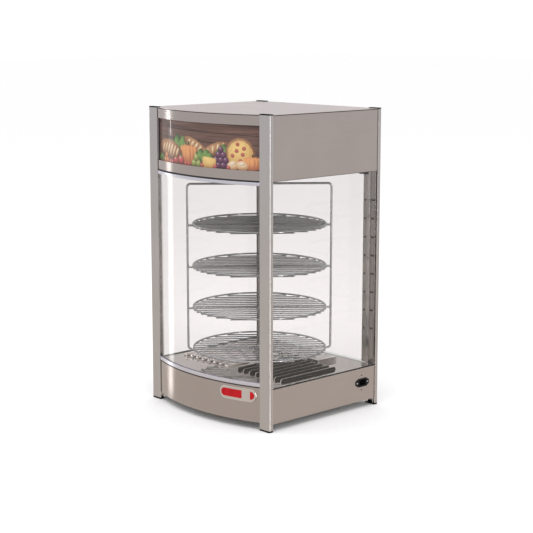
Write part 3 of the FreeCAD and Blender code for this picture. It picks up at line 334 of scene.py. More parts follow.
def shape_group():
    """A node group that paints one shaded round shape over the colour beneath it.

    Inside it, places are measured from the shape's middle, in its half sizes. Its Plane output is
    its Plane input moved by next to nothing, so that a chain of these groups is worked out one
    after another and stays small enough for the renderer.
    """
    group = bpy.data.node_groups.new("painted_shape", "ShaderNodeTree")
    for name, kind in SHAPE_INPUTS:
        group.interface.new_socket(name, in_out="INPUT", socket_type=kind)
    group.interface.new_socket("Plane", in_out="OUTPUT", socket_type="NodeSocketVector")
    group.interface.new_socket("Colour", in_out="OUTPUT", socket_type="NodeSocketColor")
    nodes = Nodes(group)
    given = nodes.add("NodeGroupInput").outputs
    spot = nodes.mapped(given["Plane"], given["Middle"], given["Turn"], given["Half"], "TEXTURE")
    x, y, _ = nodes.axes(spot)
    power = given["Square"]
    spread = nodes.math("ADD", nodes.math("POWER", nodes.math("ABSOLUTE", x), power),
                        nodes.math("POWER", nodes.math("ABSOLUTE", y), power))
    reach = nodes.math("POWER", spread, nodes.math("DIVIDE", 1.0, power))
    rough_edge = nodes.math("SUBTRACT", nodes.noise(spot, 2.6, 3, 0.6), 0.5)
    reach = nodes.math("MULTIPLY_ADD", rough_edge, nodes.math("ADD", given["Ragged"], 0.12), reach)
    inside = nodes.rescale(reach, 1.04, 0.95, 0, 1, True)
    hollow = nodes.math("SUBTRACT", 1.0, nodes.math("MULTIPLY", reach, reach))
    swell = nodes.math("SQRT", nodes.math("MAXIMUM", hollow, 0.0))
    lit = nodes.math("MULTIPLY_ADD", y, 0.32, nodes.math("MULTIPLY", swell, 0.55))
    lit = nodes.math("MULTIPLY_ADD", x, -0.12, lit)
    fleck = nodes.math("SUBTRACT", nodes.noise(spot, 5.5, 5, 0.8), 0.5)
    lit = nodes.math("MULTIPLY_ADD", fleck, nodes.math("ADD", given["Fleck"], 0.5), lit)
    body = nodes.mix(nodes.rescale(lit, 0.05, 0.85, 0, 1, True), given["Dark"], given["Light"])
    from_glint = nodes.vector_math("SUBTRACT", spot, GLINT)
    glint = nodes.rescale(nodes.vector_math("LENGTH", from_glint, output=1), 0.26, 0.08, 0, 1, True)
    body = nodes.mix(nodes.math("MULTIPLY", glint, given["Gloss"]), body, colour(0.8, 0.77, 0.73))
    painted = nodes.mix(inside, given["Under"], body)
    moved = nodes.vector_math("ADD", given["Plane"], nodes.vector_math("MULTIPLY", painted, (HAIR,) * 3))
    nodes.add("NodeGroupOutput", {0: moved, 1: painted})
    return group


class Painting:
    """A picture built up shape by shape, measured from the middle of its lower edge."""

    def __init__(self, nodes, plane, ground):
        self.nodes, self.plane, self.colour = nodes, plane, ground
        self.group = shape_group()

    def shape(self, x, y, wide, high, light, dark, turn=0, ragged=0.0, fleck=0.3, square=2.0, gloss=0.0):
        """wide and high are half sizes in millimetres, like x and y; turn is in degrees."""
        node = self.nodes.add("ShaderNodeGroup", node_tree=self.group)
        values = (self.plane, self.colour, (x / 1000, y / 1000, 0), (0, 0, math.radians(turn)),
                  (wide / 1000, high / 1000, 1), light, dark, ragged, fleck, square, gloss)
        for socket, value in zip(node.inputs, values):
            self.nodes.feed(socket, value)
        self.plane, self.colour = node.outputs[0], node.outputs[1]


CRUST, CRUST_DARK = colour(0.52, 0.24, 0.07), colour(0.16, 0.05, 0.015)
CRUMB, CRUMB_DARK = colour(0.86, 0.66, 0.38), colour(0.50, 0.27, 0.10)
TOMATO, TOMATO_DARK = colour(0.72, 0.05, 0.03), colour(0.22, 0.008, 0.01)
LEAF, LEAF_DARK = colour(0.20, 0.38, 0.06), colour(0.03, 0.09, 0.02)
CHEESE, CHEESE_DARK = colour(0.88, 0.58, 0.12), colour(0.55, 0.27, 0.03)
GRAPE, GRAPE_DARK = colour(0.24, 0.06, 0.16), colour(0.05, 0.01, 0.04)
ORANGE, ORANGE_DARK = colour(0.86, 0.33, 0.03), colour(0.45, 0.10, 0.01)
CREAM = colour(0.90, 0.82, 0.68)
SAUSAGE, SAUSAGE_DARK = colour(0.62, 0.10, 0.04), colour(0.30, 0.03, 0.02)
GREEN_GRAPE, GREEN_GRAPE_DARK = colour(0.46, 0.50, 0.10), colour(0.12, 0.16, 0.02)
TABLE, TABLE_DARK = colour(0.20, 0.10, 0.05), colour(0.04, 0.015, 0.01)


def paint_loaf(art, x, y, wide, high, turn, cuts):
    """A crusty loaf with slanting cuts along its back."""
    art.shape(x, y, wide, high, CRUST, CRUST_DARK, turn, 0.08, 0.5)
    lean = math.radians(turn)
    for number in range(cuts):
        along = (number + 0.5) / cuts * 2 - 1
        spread = wide * 0.72 * along
        rise = high * 0.12 * (1 - along * along)
        art.shape(x + spread * math.cos(lean) - rise * math.sin(lean),
                  y + spread * math.sin(lean) + rise * math.cos(lean),
                  wide * 0.07, high * 0.66 * math.sqrt(1 - 0.6 * along * along),
                  CRUMB, CRUMB_DARK, turn - 24, 0.12, 0.5)


def paint_tomato(art, x, y, size):
    """A glossy tomato with three sepals on its top."""
    art.shape(x, y, size, size * 0.9, TOMATO, TOMATO_DARK, gloss=0.8, fleck=0.1)
    for turn in (20, 80, 140):
        art.shape(x + 0.5, y + size * 0.74, size * 0.42, size * 0.09, LEAF, LEAF_DARK, turn)


def paint_bunch(art, x, y, size, rows, light, dark):
    """Round fruit piled in a triangle."""
    for row in range(rows):
        for step in range(rows - row):
            offset = (step - (rows - row - 1) / 2) * size * 1.75
            art.shape(x + offset, y + row * size * 1.45, size, size, light, dark, gloss=0.6, fleck=0.1)


def paint_squash(art, x, y, size):
    """A ribbed squash with its stalk."""
    for along in (-0.75, 0.75, -0.4, 0.4, 0):
        art.shape(x + along * size, y, size * 0.42, size * (0.86 - 0.18 * abs(along)),
                  ORANGE, ORANGE_DARK, along * -10, fleck=0.2)
    art.shape(x + size * 0.05, y + size * 0.9, size * 0.1, size * 0.2, LEAF_DARK, CRUST_DARK, -12, square=4)


# The turn, in radians, from one slice to the next, which spreads them evenly
GOLDEN_ANGLE = 2.4


def paint_pie(art, x, y, size):
    """A round pie seen from above, with slices of sausage on it."""
    art.shape(x, y, size, size * 0.94, CRUST, CRUST_DARK, ragged=0.05, fleck=0.6)
    art.shape(x, y, size * 0.84, size * 0.79, CHEESE, CHEESE_DARK, ragged=0.12, fleck=0.9)
    for number in range(7):
        turn = number * GOLDEN_ANGLE
        away = size * 0.23 * math.sqrt(number + 0.6)
        art.shape(x + away * math.cos(turn), y + away * math.sin(turn), size * 0.13, size * 0.12,
                  SAUSAGE, SAUSAGE_DARK)


def paint_greens(art, x, y, wide, high, leaves):
    """A fan of ragged leaves, every other one set higher."""
    for number in range(leaves):
        along = (number + 0.5) / leaves * 2 - 1
        art.shape(x + wide * along, y + high * 0.3 * (number % 2), wide * 0.5, high * 0.45,
                  LEAF, LEAF_DARK, 70 - 50 * along, 0.5, 0.8)


def paint_food(art):
    """The whole still life, from its back to its front."""
    art.shape(0, -4, 230, 17, TABLE, TABLE_DARK, fleck=0.6, square=8)
    paint_greens(art, -66, 50, 42, 36, 6)
    paint_loaf(art, -6, 54, 54, 17, -22, 5)
    paint_loaf(art, 66, 52, 50, 16, 18, 4)
    paint_greens(art, 100, 44, 24, 34, 4)
    paint_squash(art, -38, 33, 31)
    paint_pie(art, 142, 43, 44)
    paint_greens(art, 24, 30, 26, 26, 5)
    paint_loaf(art, -128, 38, 64, 27, -7, 6)
    paint_squash(art, 176, 22, 21)
    paint_bunch(art, 84, 13, 9, 4, GRAPE, GRAPE_DARK)
    art.shape(44, 17, 24, 14, CHEESE, CHEESE_DARK, -5, square=6, fleck=0.1)
    for x, y, size in ((33, 20, 3.2), (44, 12, 2.6), (54, 20, 3.4), (50, 24, 1.8)):
        art.shape(x, y, size, size * 0.8, CHEESE_DARK, CHEESE, fleck=0)
    for x, turn in ((122, 8), (148, -6)):
        art.shape(x, 15, 17, 12, CRUMB, CRUST, turn, 0.06, 0.5)
        art.shape(x, 19, 9, 3, CREAM, CRUMB_DARK, turn + 20, 0.2)
    paint_bunch(art, -4, 12, 10, 2, GREEN_GRAPE, GREEN_GRAPE_DARK)
    paint_tomato(art, -70, 16, 15)
    paint_tomato(art, -96, 13, 12)
    paint_bunch(art, -150, 10, 8, 2, ORANGE, ORANGE_DARK)
    paint_greens(art, -182, 14, 14, 18, 3)
    for x, size in ((-126, 7), (-113, 6), (-48, 7), (-34, 6), (18, 6.5), (64, 7), (108, 6)):
        art.shape(x, 8, size, size * 0.9, TOMATO, TOMATO_DARK, gloss=0.7, fleck=0.1)


PLANK_HIGH, PLANK_SLOPE = 0.0235, 0.02
WALNUT_DARK, WALNUT, WALNUT_DEEP = (colour(0.046, 0.017, 0.011), colour(0.245, 0.108, 0.072),
                                    colour(0.155, 0.066, 0.045))
SEAM = colour(0.006, 0.003, 0.002)


def planks(nodes, x, rise):
    """Level walnut boards: figure along each board, a tone of its own, and a dark seam between two."""
    board = nodes.math("DIVIDE", nodes.math("ADD", rise, nodes.math("MULTIPLY", x, PLANK_SLOPE)), PLANK_HIGH)
    row = nodes.math("FLOOR", board)
    shift = nodes.math("MULTIPLY", row, 3.7)
    figure = nodes.noise(nodes.join(nodes.math("ADD", nodes.math("MULTIPLY", x, 5.0), shift),
                                    nodes.math("MULTIPLY", rise, 110.0), row), 1.0, 5, 0.65)
    tone = nodes.noise(nodes.join(shift, row, 0.3), 1.7, 0)
    wood = nodes.mix(nodes.rescale(figure, 0.3, 0.72, 0, 1), WALNUT_DARK, WALNUT)
    wood = nodes.mix(nodes.rescale(tone, 0.3, 0.7, 0, 0.6), wood, WALNUT_DEEP)
    from_centre = nodes.math("ABSOLUTE", nodes.math("SUBTRACT", nodes.math("FRACT", board), 0.5))
    return nodes.mix(nodes.rescale(from_centre, 0.44, 0.49, 0, 0.85, True), wood, SEAM)


def printed_picture():
    """Walnut planks behind a row of food, printed on a sheet under clear gloss film."""
    material, nodes = new_material("printed_picture")
    x, _, z = nodes.axes(nodes.place())
    rise = nodes.math("SUBTRACT", z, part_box("picture_panel")[0].z)
    plane = nodes.join(x, rise, 0.0)
    art = Painting(nodes, plane, planks(nodes, x, rise))
    paint_food(art)
    dots = nodes.noise(plane, 2500, 1)
    printed = nodes.mix(nodes.rescale(dots, 0.3, 0.7, 0, 0.08), art.colour, colour(0.5, 0.5, 0.5))
    printed = nodes.add("ShaderNodeHueSaturation", {
        "Color": printed, "Saturation": 0.86, "Value": 0.66}).outputs[0]
    film = nodes.noise(nodes.place(), 35, 2)
    principled(nodes, Base_Color=printed, Roughness=0.40, Specular_IOR_Level=0.2,
               Coat_Weight=0.35, Coat_Roughness=0.03,
               Normal=nodes.bump(film, 0.15, 0.0004))
    return material


def enamel(name, tone):
    """Fired enamel, a little uneven in depth and with a slight orange peel."""
    material, nodes = new_material(name)
    place = nodes.place()
    depth = nodes.noise(place, 60, 3)
    peel = nodes.noise(place, 900, 2)
    colours = nodes.mix(nodes.rescale(depth, 0.3, 0.7, 0, 1), tone, shade(tone, 0.75))
    principled(nodes, Base_Color=colours,
               Roughness=nodes.rescale(peel, 0.3, 0.7, 0.30, 0.42), Specular_IOR_Level=0.08,
               Coat_Weight=0.05, Coat_Roughness=0.08,
               Normal=nodes.bump(peel, 0.2, 0.00003))
    return material


# ---------------------------------------------------------------------------
# The library of finishes, and which CAD node takes which
# ---------------------------------------------------------------------------

finish = {
    "post": brushed("satin_extrusion", colour(0.605, 0.58, 0.57), "z", 0.16, scratch=0.03, height=0.000005),
    # The front and rear panels' steel is the side panels' steel made darker: painted shade
    "panel_x": brushed("stainless_along_x", colour(0.52, 0.463, 0.440), "x", 0.14),
    "panel_y": brushed("stainless_along_y", colour(0.55, 0.495, 0.470), "y", 0.18),
    # The roof's steel is the same steel made lighter and warmer: painted light on the top of the case
    "roof": brushed("stainless_roof", colour(0.63, 0.545, 0.525), "y", 0.24, warm=0.02),
    # The cabin floor's steel is the same steel made lighter: painted light on an upward face
    "deck": brushed("stainless_floor", colour(0.70, 0.655, 0.62), "y", 0.075, scratch=0.03),
    "lid": brushed("stainless_lid", colour(0.76, 0.73, 0.71), "x", 0.22),
    "trim": brushed("bright_anodised", colour(0.80, 0.79, 0.88), "x", 0.20),
    "galvanised": brushed("galvanised_sheet", colour(0.45, 0.46, 0.47), "x", 0.42, scratch=0.1),
    "stile": brushed("anodised_stile", colour(0.50, 0.47, 0.45), "z", 0.30),
    "hinge": brushed("hinge_steel", colour(0.55, 0.54, 0.52), "z", 0.28),
    "wire": wire_metal("plated_wire", colour(0.44, 0.455, 0.47), 0.11),
    "hoop": wire_metal("plated_rod", colour(0.50, 0.505, 0.515), 0.20),
    "screw": wire_metal("screw_steel", colour(0.50, 0.48, 0.46), 0.30),
    "rivet": wire_metal("darkened_rivet", colour(0.07, 0.055, 0.045), 0.35),
    "blade": wire_metal("nickel_blade", colour(0.66, 0.62, 0.55), 0.20),
    "sheath": heat_stained_tube(),
    "bronze": sintered_bronze(),
    "casting": cast_metal(),
    "glass": clear_glass("float_glass"),
    "gasket": rubber(),
    "black": moulded("black_moulding", colour(0.008, 0.008, 0.009), 0.85, gloss=0.02),
    "inlet": moulded("black_nylon", colour(0.007, 0.007, 0.008), 0.48, grain=0.00004, gloss=0.15),
    "knob": moulded("black_bakelite", colour(0.014, 0.013, 0.013), 0.24, grain=0.00003),
    "rocker_red": moulded("red_rocker", colour(0.42, 0.012, 0.012), 0.26, grain=0.00003),
    "rocker_green": moulded("green_rocker", colour(0.010, 0.20, 0.035), 0.26, grain=0.00003),
    "white": moulded("white_moulding", colour(0.78, 0.77, 0.74), 0.40),
    "marking": moulded("white_marking", colour(0.82, 0.82, 0.80), 0.45, grain=0.00002),
    "tube": frosted_tube(),
    "picture": printed_picture(),
    "badge": brushed("badge_plate", colour(0.74, 0.70, 0.67), "x", 0.20),
    "red": enamel("red_enamel", colour(0.40, 0.008, 0.012)),
}

DRESS = {
    "post": ("post_front_left", "post_front_right", "post_rear_left", "post_rear_right"),
    "black": ("post_caps", "post_feet", "door_catches"),
    "inlet": ("power_inlet", "switch_housings"),
    "panel_x": ("base_front_panel", "base_rear_panel", "header_lower_band", "header_upper_band",
                "header_rear_panel"),
    "panel_y": ("base_side_left", "base_side_right", "header_side_left", "header_side_right"),
    "roof": ("roof_panel",),
    "deck": ("cabin_floor",),
    "lid": ("water_pan", "pan_lid"),
    "galvanised": ("base_bottom_plate", "cabin_ceiling", "element_clips"),
    "trim": ("lower_glass_channel", "upper_glass_channel"),
    "stile": ("door_hinge_stile", "door_latch_stile", "door_handle"),
    "hinge": ("hinge_leaf_door", "hinge_leaf_post", "hinge_pin", "door_strike"),
    "wire": ("shelf_1", "shelf_2", "shelf_3", "shelf_4"),
    "hoop": ("rack_hoop", "cross_rods", "drive_hub"),
    "rivet": ("hinge_rivets_door", "hinge_rivets_post"),
    "screw": ("panel_screws",),
    "sheath": ("heating_element",),
    "bronze": ("shaft_bush",),
    "casting": ("gearmotor",),
    "glass": ("front_glass", "side_glass_left", "side_glass_right", "door_glass"),
    "gasket": ("glass_gaskets",),
    "knob": ("thermostat_knob",),
    "rocker_red": ("rocker_heat",),
    "rocker_green": ("rocker_light",),
    "white": ("lamp_holders", "thermostat"),
    "tube": ("lamp_tube",),
    "picture": ("picture_panel",),
    "badge": ("name_badge",),
}


def dress(piece, material):
    piece.data.materials.clear()
    piece.data.materials.append(material)


for kind, members in DRESS.items():
    for member in members:
        dress(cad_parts[member], finish[kind])

# ---------------------------------------------------------------------------
# Softened edges: each width in metres, and the CAD nodes that take it
# ---------------------------------------------------------------------------

# Vertices closer than SAME are one, and edges that turn by more than SHARP are softened
SAME = 0.00002
SHARP = math.radians(40)
SOFT = {
    0.0004: ("post_front_left", "post_front_right", "post_rear_left", "post_rear_right",
             "post_feet", "door_hinge_stile", "door_latch_stile", "lower_glass_channel",
             "upper_glass_channel", "glass_gaskets"),
    0.0005: ("post_caps", "door_handle", "door_catches", "power_inlet", "switch_housings",
             "hinge_rivets_door", "hinge_rivets_post", "drive_hub"),
    0.0007: ("name_badge", "rocker_heat", "rocker_light", "gearmotor"),
    0.0012: ("thermostat_knob", "thermostat", "lamp_holders"),
    0.0003: ("hinge_leaf_door", "hinge_leaf_post", "door_strike", "element_clips"),
}


def soften(piece, width):
    """Round the piece's sharp edges by modifiers, leaving its mesh as it is."""
    weld = piece.modifiers.new("weld", "WELD")
    weld.merge_threshold = SAME
    bevel = piece.modifiers.new("edges", "BEVEL")
    bevel.width = width
    bevel.segments = 2
    bevel.limit_method = "ANGLE"
    bevel.angle_limit = SHARP
    bevel.use_clamp_overlap = True
    normals = piece.modifiers.new("normals", "WEIGHTED_NORMAL")
    normals.keep_sharp = False


for width, members in SOFT.items():
    for member in members:
        soften(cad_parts[member], width)

# ---------------------------------------------------------------------------
# Pieces made here, all in the row frame and in metres
# ---------------------------------------------------------------------------


def piece(name, mesh, material, body, smooth=True):
    """Turn a bmesh into an object that rides a CAD body."""
    bmesh.ops.recalc_face_normals(mesh, faces=mesh.faces)
    for face in mesh.faces:
        face.smooth = smooth
    data = bpy.data.meshes.new(name)
    mesh.to_mesh(data)
    mesh.free()
    made = bpy.data.objects.new(name, data)
    bpy.context.scene.collection.objects.link(made)
    dress(made, material)
    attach(made, body)
    return made


def islands(node):
    """(lowest corner, highest corner) of each separate lump of a CAD node."""
    mesh = bmesh.new()
    mesh.from_mesh(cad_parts[node].data)
    bmesh.ops.remove_doubles(mesh, verts=mesh.verts, dist=SAME)
    waiting = set(mesh.verts)
    lumps = []
    while waiting:
        reached = [waiting.pop()]
        for vert in reached:
            for edge in vert.link_edges:
                other = edge.other_vert(vert)
                if other in waiting:
                    waiting.remove(other)
                    reached.append(other)
        spots = [vert.co for vert in reached]
        lumps.append((Vector(map(min, *spots)), Vector(map(max, *spots))))
    mesh.free()
    return sorted(lumps, key=lambda lump: tuple(lump[0]))


def revolve(mesh, profile, frame_of, sides=24, height=None):
    """A skin through rings of (radius, rise); height(x, y, rise) can reshape its surface."""
    rings = []
    for radius, rise in profile:
        ring = []
        for step in range(sides):
            turn = step / sides * math.tau
            x, y = radius * math.cos(turn), radius * math.sin(turn)
            level = height(x, y, rise) if height else rise
            ring.append(mesh.verts.new(frame_of @ Vector((x, y, level))))
        rings.append(ring)
    for lower, upper in zip(rings, rings[1:]):
        for step in range(sides):
            after = (step + 1) % sides
            mesh.faces.new((lower[step], lower[after], upper[after], upper[step]))
    mesh.faces.new(rings[0])
    mesh.faces.new(rings[-1])


def facing(normal, spot):
    """A frame at spot whose third axis is normal."""
    return Matrix.Translation(spot) @ Vector(normal).to_track_quat("Z", "Y").to_matrix().to_4x4()


def bar(mesh, frame_of, long, wide, high):
    """A flat bar that stands on its frame's plane, narrowed a little towards its top."""
    corners = ((-1, -1), (1, -1), (1, 1), (-1, 1))
    foot = [mesh.verts.new(frame_of @ Vector((x * long / 2, y * wide / 2, -high))) for x, y in corners]
    top = [mesh.verts.new(frame_of @ Vector((x * (long / 2 - high / 2), y * (wide / 2 - high / 2), high)))
           for x, y in corners]
    for step in range(4):
        after = (step + 1) % 4
        mesh.faces.new((foot[step], foot[after], top[after], top[step]))
    mesh.faces.new(foot)
    mesh.faces.new(top)


def middle(box):
    return (box[0] + box[1]) / 2


# A screw's head is a share of its length, and its crown and cross recess are shares of the head
SCREW_HEAD_SHARE = 1.2 / 6.2
SHANK_SHARE = 0.55
PAN_PROFILE = ((1.0, 0.25), (0.97, 0.55), (0.86, 0.82), (0.72, 0.93), (0.64, 0.97),
               (0.60, 0.98), (0.48, 0.99), (0.34, 1.0), (0.20, 1.0), (0.08, 1.0))
CROSS_HALF, CROSS_REACH, CROSS_DEEP = 0.16, 0.62, 0.55


def screw_heads():
    """Pan heads with a cross recess, and their shanks, in place of the plain CAD screws."""
    mesh = bmesh.new()
    for low, high in islands("panel_screws"):
        size = high - low
        sideways = size.x > size.z
        radius = size.y / 2
        normal = Vector((1, 0, 0)) if sideways else Vector((0, 0, 1))
        long = size.x if sideways else size.z
        head = SCREW_HEAD_SHARE * long
        seat = middle((low, high)) + normal * (long / 2 - head)

        def sunk(x, y, rise, radius=radius, head=head):
            reach = math.hypot(x, y) / radius
            in_cross = min(abs(x), abs(y)) < CROSS_HALF * radius and reach < CROSS_REACH
            return rise - head * CROSS_DEEP if in_cross and rise > 0 else rise

        crown = [(radius * share, head * rise) for share, rise in PAN_PROFILE]
        shank = [(radius * SHANK_SHARE, head - long), (radius * SHANK_SHARE, 0), (radius * 0.99, 0)]
        revolve(mesh, shank + crown, facing(normal, seat), 48, sunk)
    heads = piece("screw_heads", mesh, finish["screw"], "root")
    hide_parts("panel_screws")


# The curved panels' outer radius
FRONT_RADIUS = 0.545


def on_front(x, z, proud):
    """A point in front of the curved panels, proud by that much."""
    middle_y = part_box("header_lower_band")[0].y + FRONT_RADIUS
    return Vector((x, middle_y - math.sqrt((FRONT_RADIUS + proud) ** 2 - x * x), z))


# The badge's bare rim at its ends and along its long sides, and where its two red fields lie
BADGE_RIM, BADGE_EDGE = 0.0045, 0.006975
BADGE_PARTS = ((0, 0.64), (0.88, 1))
ENAMEL_PROUD, ENAMEL_THICK = 0.00222, 0.0006


def badge_field():
    """The badge's red enamel, in two parts with a bare strip between them."""
    low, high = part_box("name_badge")
    centre = middle((low, high))
    half_high = (high.z - low.z) / 2 - BADGE_EDGE
    left, right = low.x + BADGE_RIM, high.x - BADGE_RIM
    mesh = bmesh.new()
    columns, rows = 40, 6
    for shares in BADGE_PARTS:
        start, end = (left + (right - left) * share for share in shares)
        grid = []
        for step in range(columns + 1):
            x = start + (end - start) * (1 - math.cos(step / columns * math.pi)) / 2
            from_end = min(x - left, right - x, half_high)
            tall = math.sqrt(max(half_high ** 2 - (half_high - from_end) ** 2, 1e-10))
            levels = [centre.z + tall * (2 * row / rows - 1) for row in range(rows + 1)]
            grid.append([mesh.verts.new(on_front(x, level, ENAMEL_PROUD)) for level in levels])
        for near, far in zip(grid, grid[1:]):
            for row in range(rows):
                mesh.faces.new((near[row], far[row], far[row + 1], near[row + 1]))
    bmesh.ops.recalc_face_normals(mesh, faces=mesh.faces)
    bmesh.ops.solidify(mesh, geom=mesh.faces[:], thickness=ENAMEL_THICK)
    piece("badge_field", mesh, finish["red"], "root", smooth=False)


def surface_at(node, start, direction):
    """Where a ray from start meets a CAD node, and the node's normal there."""
    mesh = bmesh.new()
    mesh.from_mesh(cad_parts[node].data)
    tree = BVHTree.FromBMesh(mesh)
    spot, normal, _, _ = tree.ray_cast(Vector(start), Vector(direction))
    mesh.free()
    return spot, normal


def aligned(frame_of, direction):
    """The same frame, turned about its third axis until its first follows a direction."""
    local = frame_of.to_3x3().inverted() @ Vector(direction)
    return frame_of @ Matrix.Rotation(math.atan2(local.y, local.x), 4, "Z")


# The dial turns as far as the knob does; its ticks are thin, and the two at its ends are longer
DIAL_START, DIAL_SWEEP, DIAL_STEPS = -45, 270, 10
TICK_LONG, END_TICK_LONG, TICK_WIDE, TICK_PROUD, TICK_GAP = 0.0026, 0.0042, 0.0008, 0.00006, 0.0022


def dial_ticks():
    """Ticks on the rear panel, around the thermostat's knob."""
    low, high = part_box("thermostat_knob")
    centre = middle((low, high))
    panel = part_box("base_rear_panel")[1].y
    outer = (high.x - low.x) / 2
    mesh = bmesh.new()
    for step in range(DIAL_STEPS + 1):
        turn = math.radians(DIAL_START + DIAL_SWEEP * step / DIAL_STEPS)
        outward = Vector((math.cos(turn), 0, math.sin(turn)))
        long = END_TICK_LONG if step in (0, DIAL_STEPS) else TICK_LONG
        spot = Vector((centre.x, panel, centre.z)) + outward * (outer + TICK_GAP + long / 2)
        bar(mesh, aligned(facing((0, 1, 0), spot), outward), long, TICK_WIDE, TICK_PROUD)
    piece("dial_ticks", mesh, finish["knob"], "root", smooth=False)


# The pointer's size, and how far its middle is from the top of the knob
POINTER_WIDE, POINTER_LONG, POINTER_PROUD, POINTER_FROM_END = 0.0012, 0.0034, 0.00012, 0.003


def knob_pointer():
    """The white mark at the end of the knob's grip."""
    low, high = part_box("thermostat_knob")
    start = (middle((low, high)).x, high.y + 0.01, high.z - POINTER_FROM_END)
    spot, _ = surface_at("thermostat_knob", start, (0, -1, 0))
    outward = Matrix.Translation(spot) @ Matrix.Rotation(math.radians(-90), 4, "X")
    mesh = bmesh.new()
    bar(mesh, outward, POINTER_WIDE, POINTER_LONG, POINTER_PROUD)
    piece("knob_pointer", mesh, finish["marking"], "knob", smooth=False)


# How far up or down a rocker its marks lie, as a share of its half height, and the marks' sizes
MARK_SHARE, LINE_LONG, LINE_WIDE, MARK_PROUD = 0.55, 0.0042, 0.0008, 0.00008
RING_PROFILE = ((0.0017, -0.0001), (0.0017, MARK_PROUD), (0.0024, MARK_PROUD), (0.0024, -0.0001))


def rocker_marks():
    """A line on each rocker's upper half and a ring on its lower half."""
    for node, body in (("rocker_heat", "heat_switch"), ("rocker_light", "light_switch")):
        low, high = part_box(node)
        centre = middle((low, high))
        mesh = bmesh.new()
        for share in (MARK_SHARE, -MARK_SHARE):
            start = (centre.x, high.y + 0.02, centre.z + share * (high.z - low.z) / 2)
            spot, normal = surface_at(node, start, (0, -1, 0))
            plane = facing(normal, spot)
            if share > 0:
                bar(mesh, aligned(plane, (0, 0, 1)), LINE_LONG, LINE_WIDE, MARK_PROUD)
            else:
                revolve(mesh, RING_PROFILE, plane, 32)
        piece(f"{node}_marks", mesh, finish["marking"], body, smooth=False)


# Each blade's place across and up from the inlet's middle, then its root, half sizes and tip
BLADE_OFFSETS = ((-0.007, -0.002), (0, 0.003), (0.007, -0.002))
BLADE_ROOT, BLADE_HALF_WIDE, BLADE_HALF_HIGH = 0.0148, 0.00106, 0.00206
BLADE_PROFILE = ((0, 1.0), (0.0112, 1.0), (0.0122, 0.92), (0.0128, 0.62))


def inlet_blades():
    """Nickel-plated sleeves over the inlet's three blades, rounded at their tips."""
    low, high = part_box("power_inlet")
    centre = middle((low, high))
    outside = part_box("base_side_right")[1].x
    mesh = bmesh.new()
    for across, up in BLADE_OFFSETS:
        foot = Vector((outside - BLADE_ROOT, centre.y + across, centre.z + up))
        rings = []
        for reach, share in BLADE_PROFILE:
            half_y, half_z = BLADE_HALF_WIDE * share, BLADE_HALF_HIGH * share
            rings.append([mesh.verts.new(foot + Vector((reach, y * half_y, z * half_z)))
                          for y, z in ((-1, -1), (1, -1), (1, 1), (-1, 1))])
        for lower, upper in zip(rings, rings[1:]):
            for step in range(4):
                after = (step + 1) % 4
                mesh.faces.new((lower[step], lower[after], upper[after], upper[step]))
        mesh.faces.new(rings[0])
        mesh.faces.new(rings[-1])
    piece("inlet_blade_sleeves", mesh, finish["blade"], "root", smooth=False)


# How the shelves lie in the case at rest, and the rack's wires, as the CAD part has them
RACK_TURN = math.radians(50)
GRID_WIRES, GRID_PITCH, RING_RADIUS, RING_BELOW_TOP = 14, 0.0245, 0.1785, 0.0052
WELD_PROFILE = ((0.0006, -0.0016), (0.0018, -0.0010), (0.0023, 0.0), (0.0018, 0.0010), (0.0006, 0.0016))


def weld_beads():
    """A bead of weld where each grid wire meets its ring."""
    mesh = bmesh.new()
    for shelf in ("shelf_1", "shelf_2", "shelf_3", "shelf_4"):
        low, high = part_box(shelf)
        centre = middle((low, high))
        level = high.z - RING_BELOW_TOP
        for wire in range(GRID_WIRES):
            off = GRID_PITCH * (wire - (GRID_WIRES - 1) / 2)
            reach = math.sqrt(RING_RADIUS ** 2 - off ** 2)
            for side in (-1, 1):
                x = side * reach * math.cos(RACK_TURN) - off * math.sin(RACK_TURN)
                y = side * reach * math.sin(RACK_TURN) + off * math.cos(RACK_TURN)
                spot = Vector((centre.x + x, centre.y + y, level))
                size = random.uniform(0.85, 1.1)
                turned = facing((0, 0, 1), spot) @ Matrix.Rotation(RACK_TURN, 4, "Z")
                revolve(mesh, WELD_PROFILE, turned @ Matrix.Diagonal((size * 1.25, size, size, 1)), 10)
    piece("weld_beads", mesh, finish["hoop"], "rack")


# How much wider than the tube its caps are
CAP_PROUD = 0.0003


def lamp_caps():
    """The crimped metal caps on the ends of the lamp tube."""
    low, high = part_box("lamp_tube")
    centre = middle((low, high))
    radius = (high.z - low.z) / 2 + CAP_PROUD
    mesh = bmesh.new()
    for side in (-1, 1):
        end = Vector((high.x if side > 0 else low.x, centre.y, centre.z))
        profile = ((radius * 0.9, -0.0105), (radius, -0.0098), (radius, -0.0012),
                   (radius * 0.93, -0.0002), (radius * 0.5, 0.0))
        revolve(mesh, profile, facing((side, 0, 0), end), 32)
    piece("lamp_caps", mesh, finish["hinge"], "root")


screw_heads()
badge_field()
dial_ticks()
knob_pointer()
rocker_marks()
inlet_blades()
weld_beads()
lamp_caps()

# ---------------------------------------------------------------------------
# Light, floor and camera
# ---------------------------------------------------------------------------


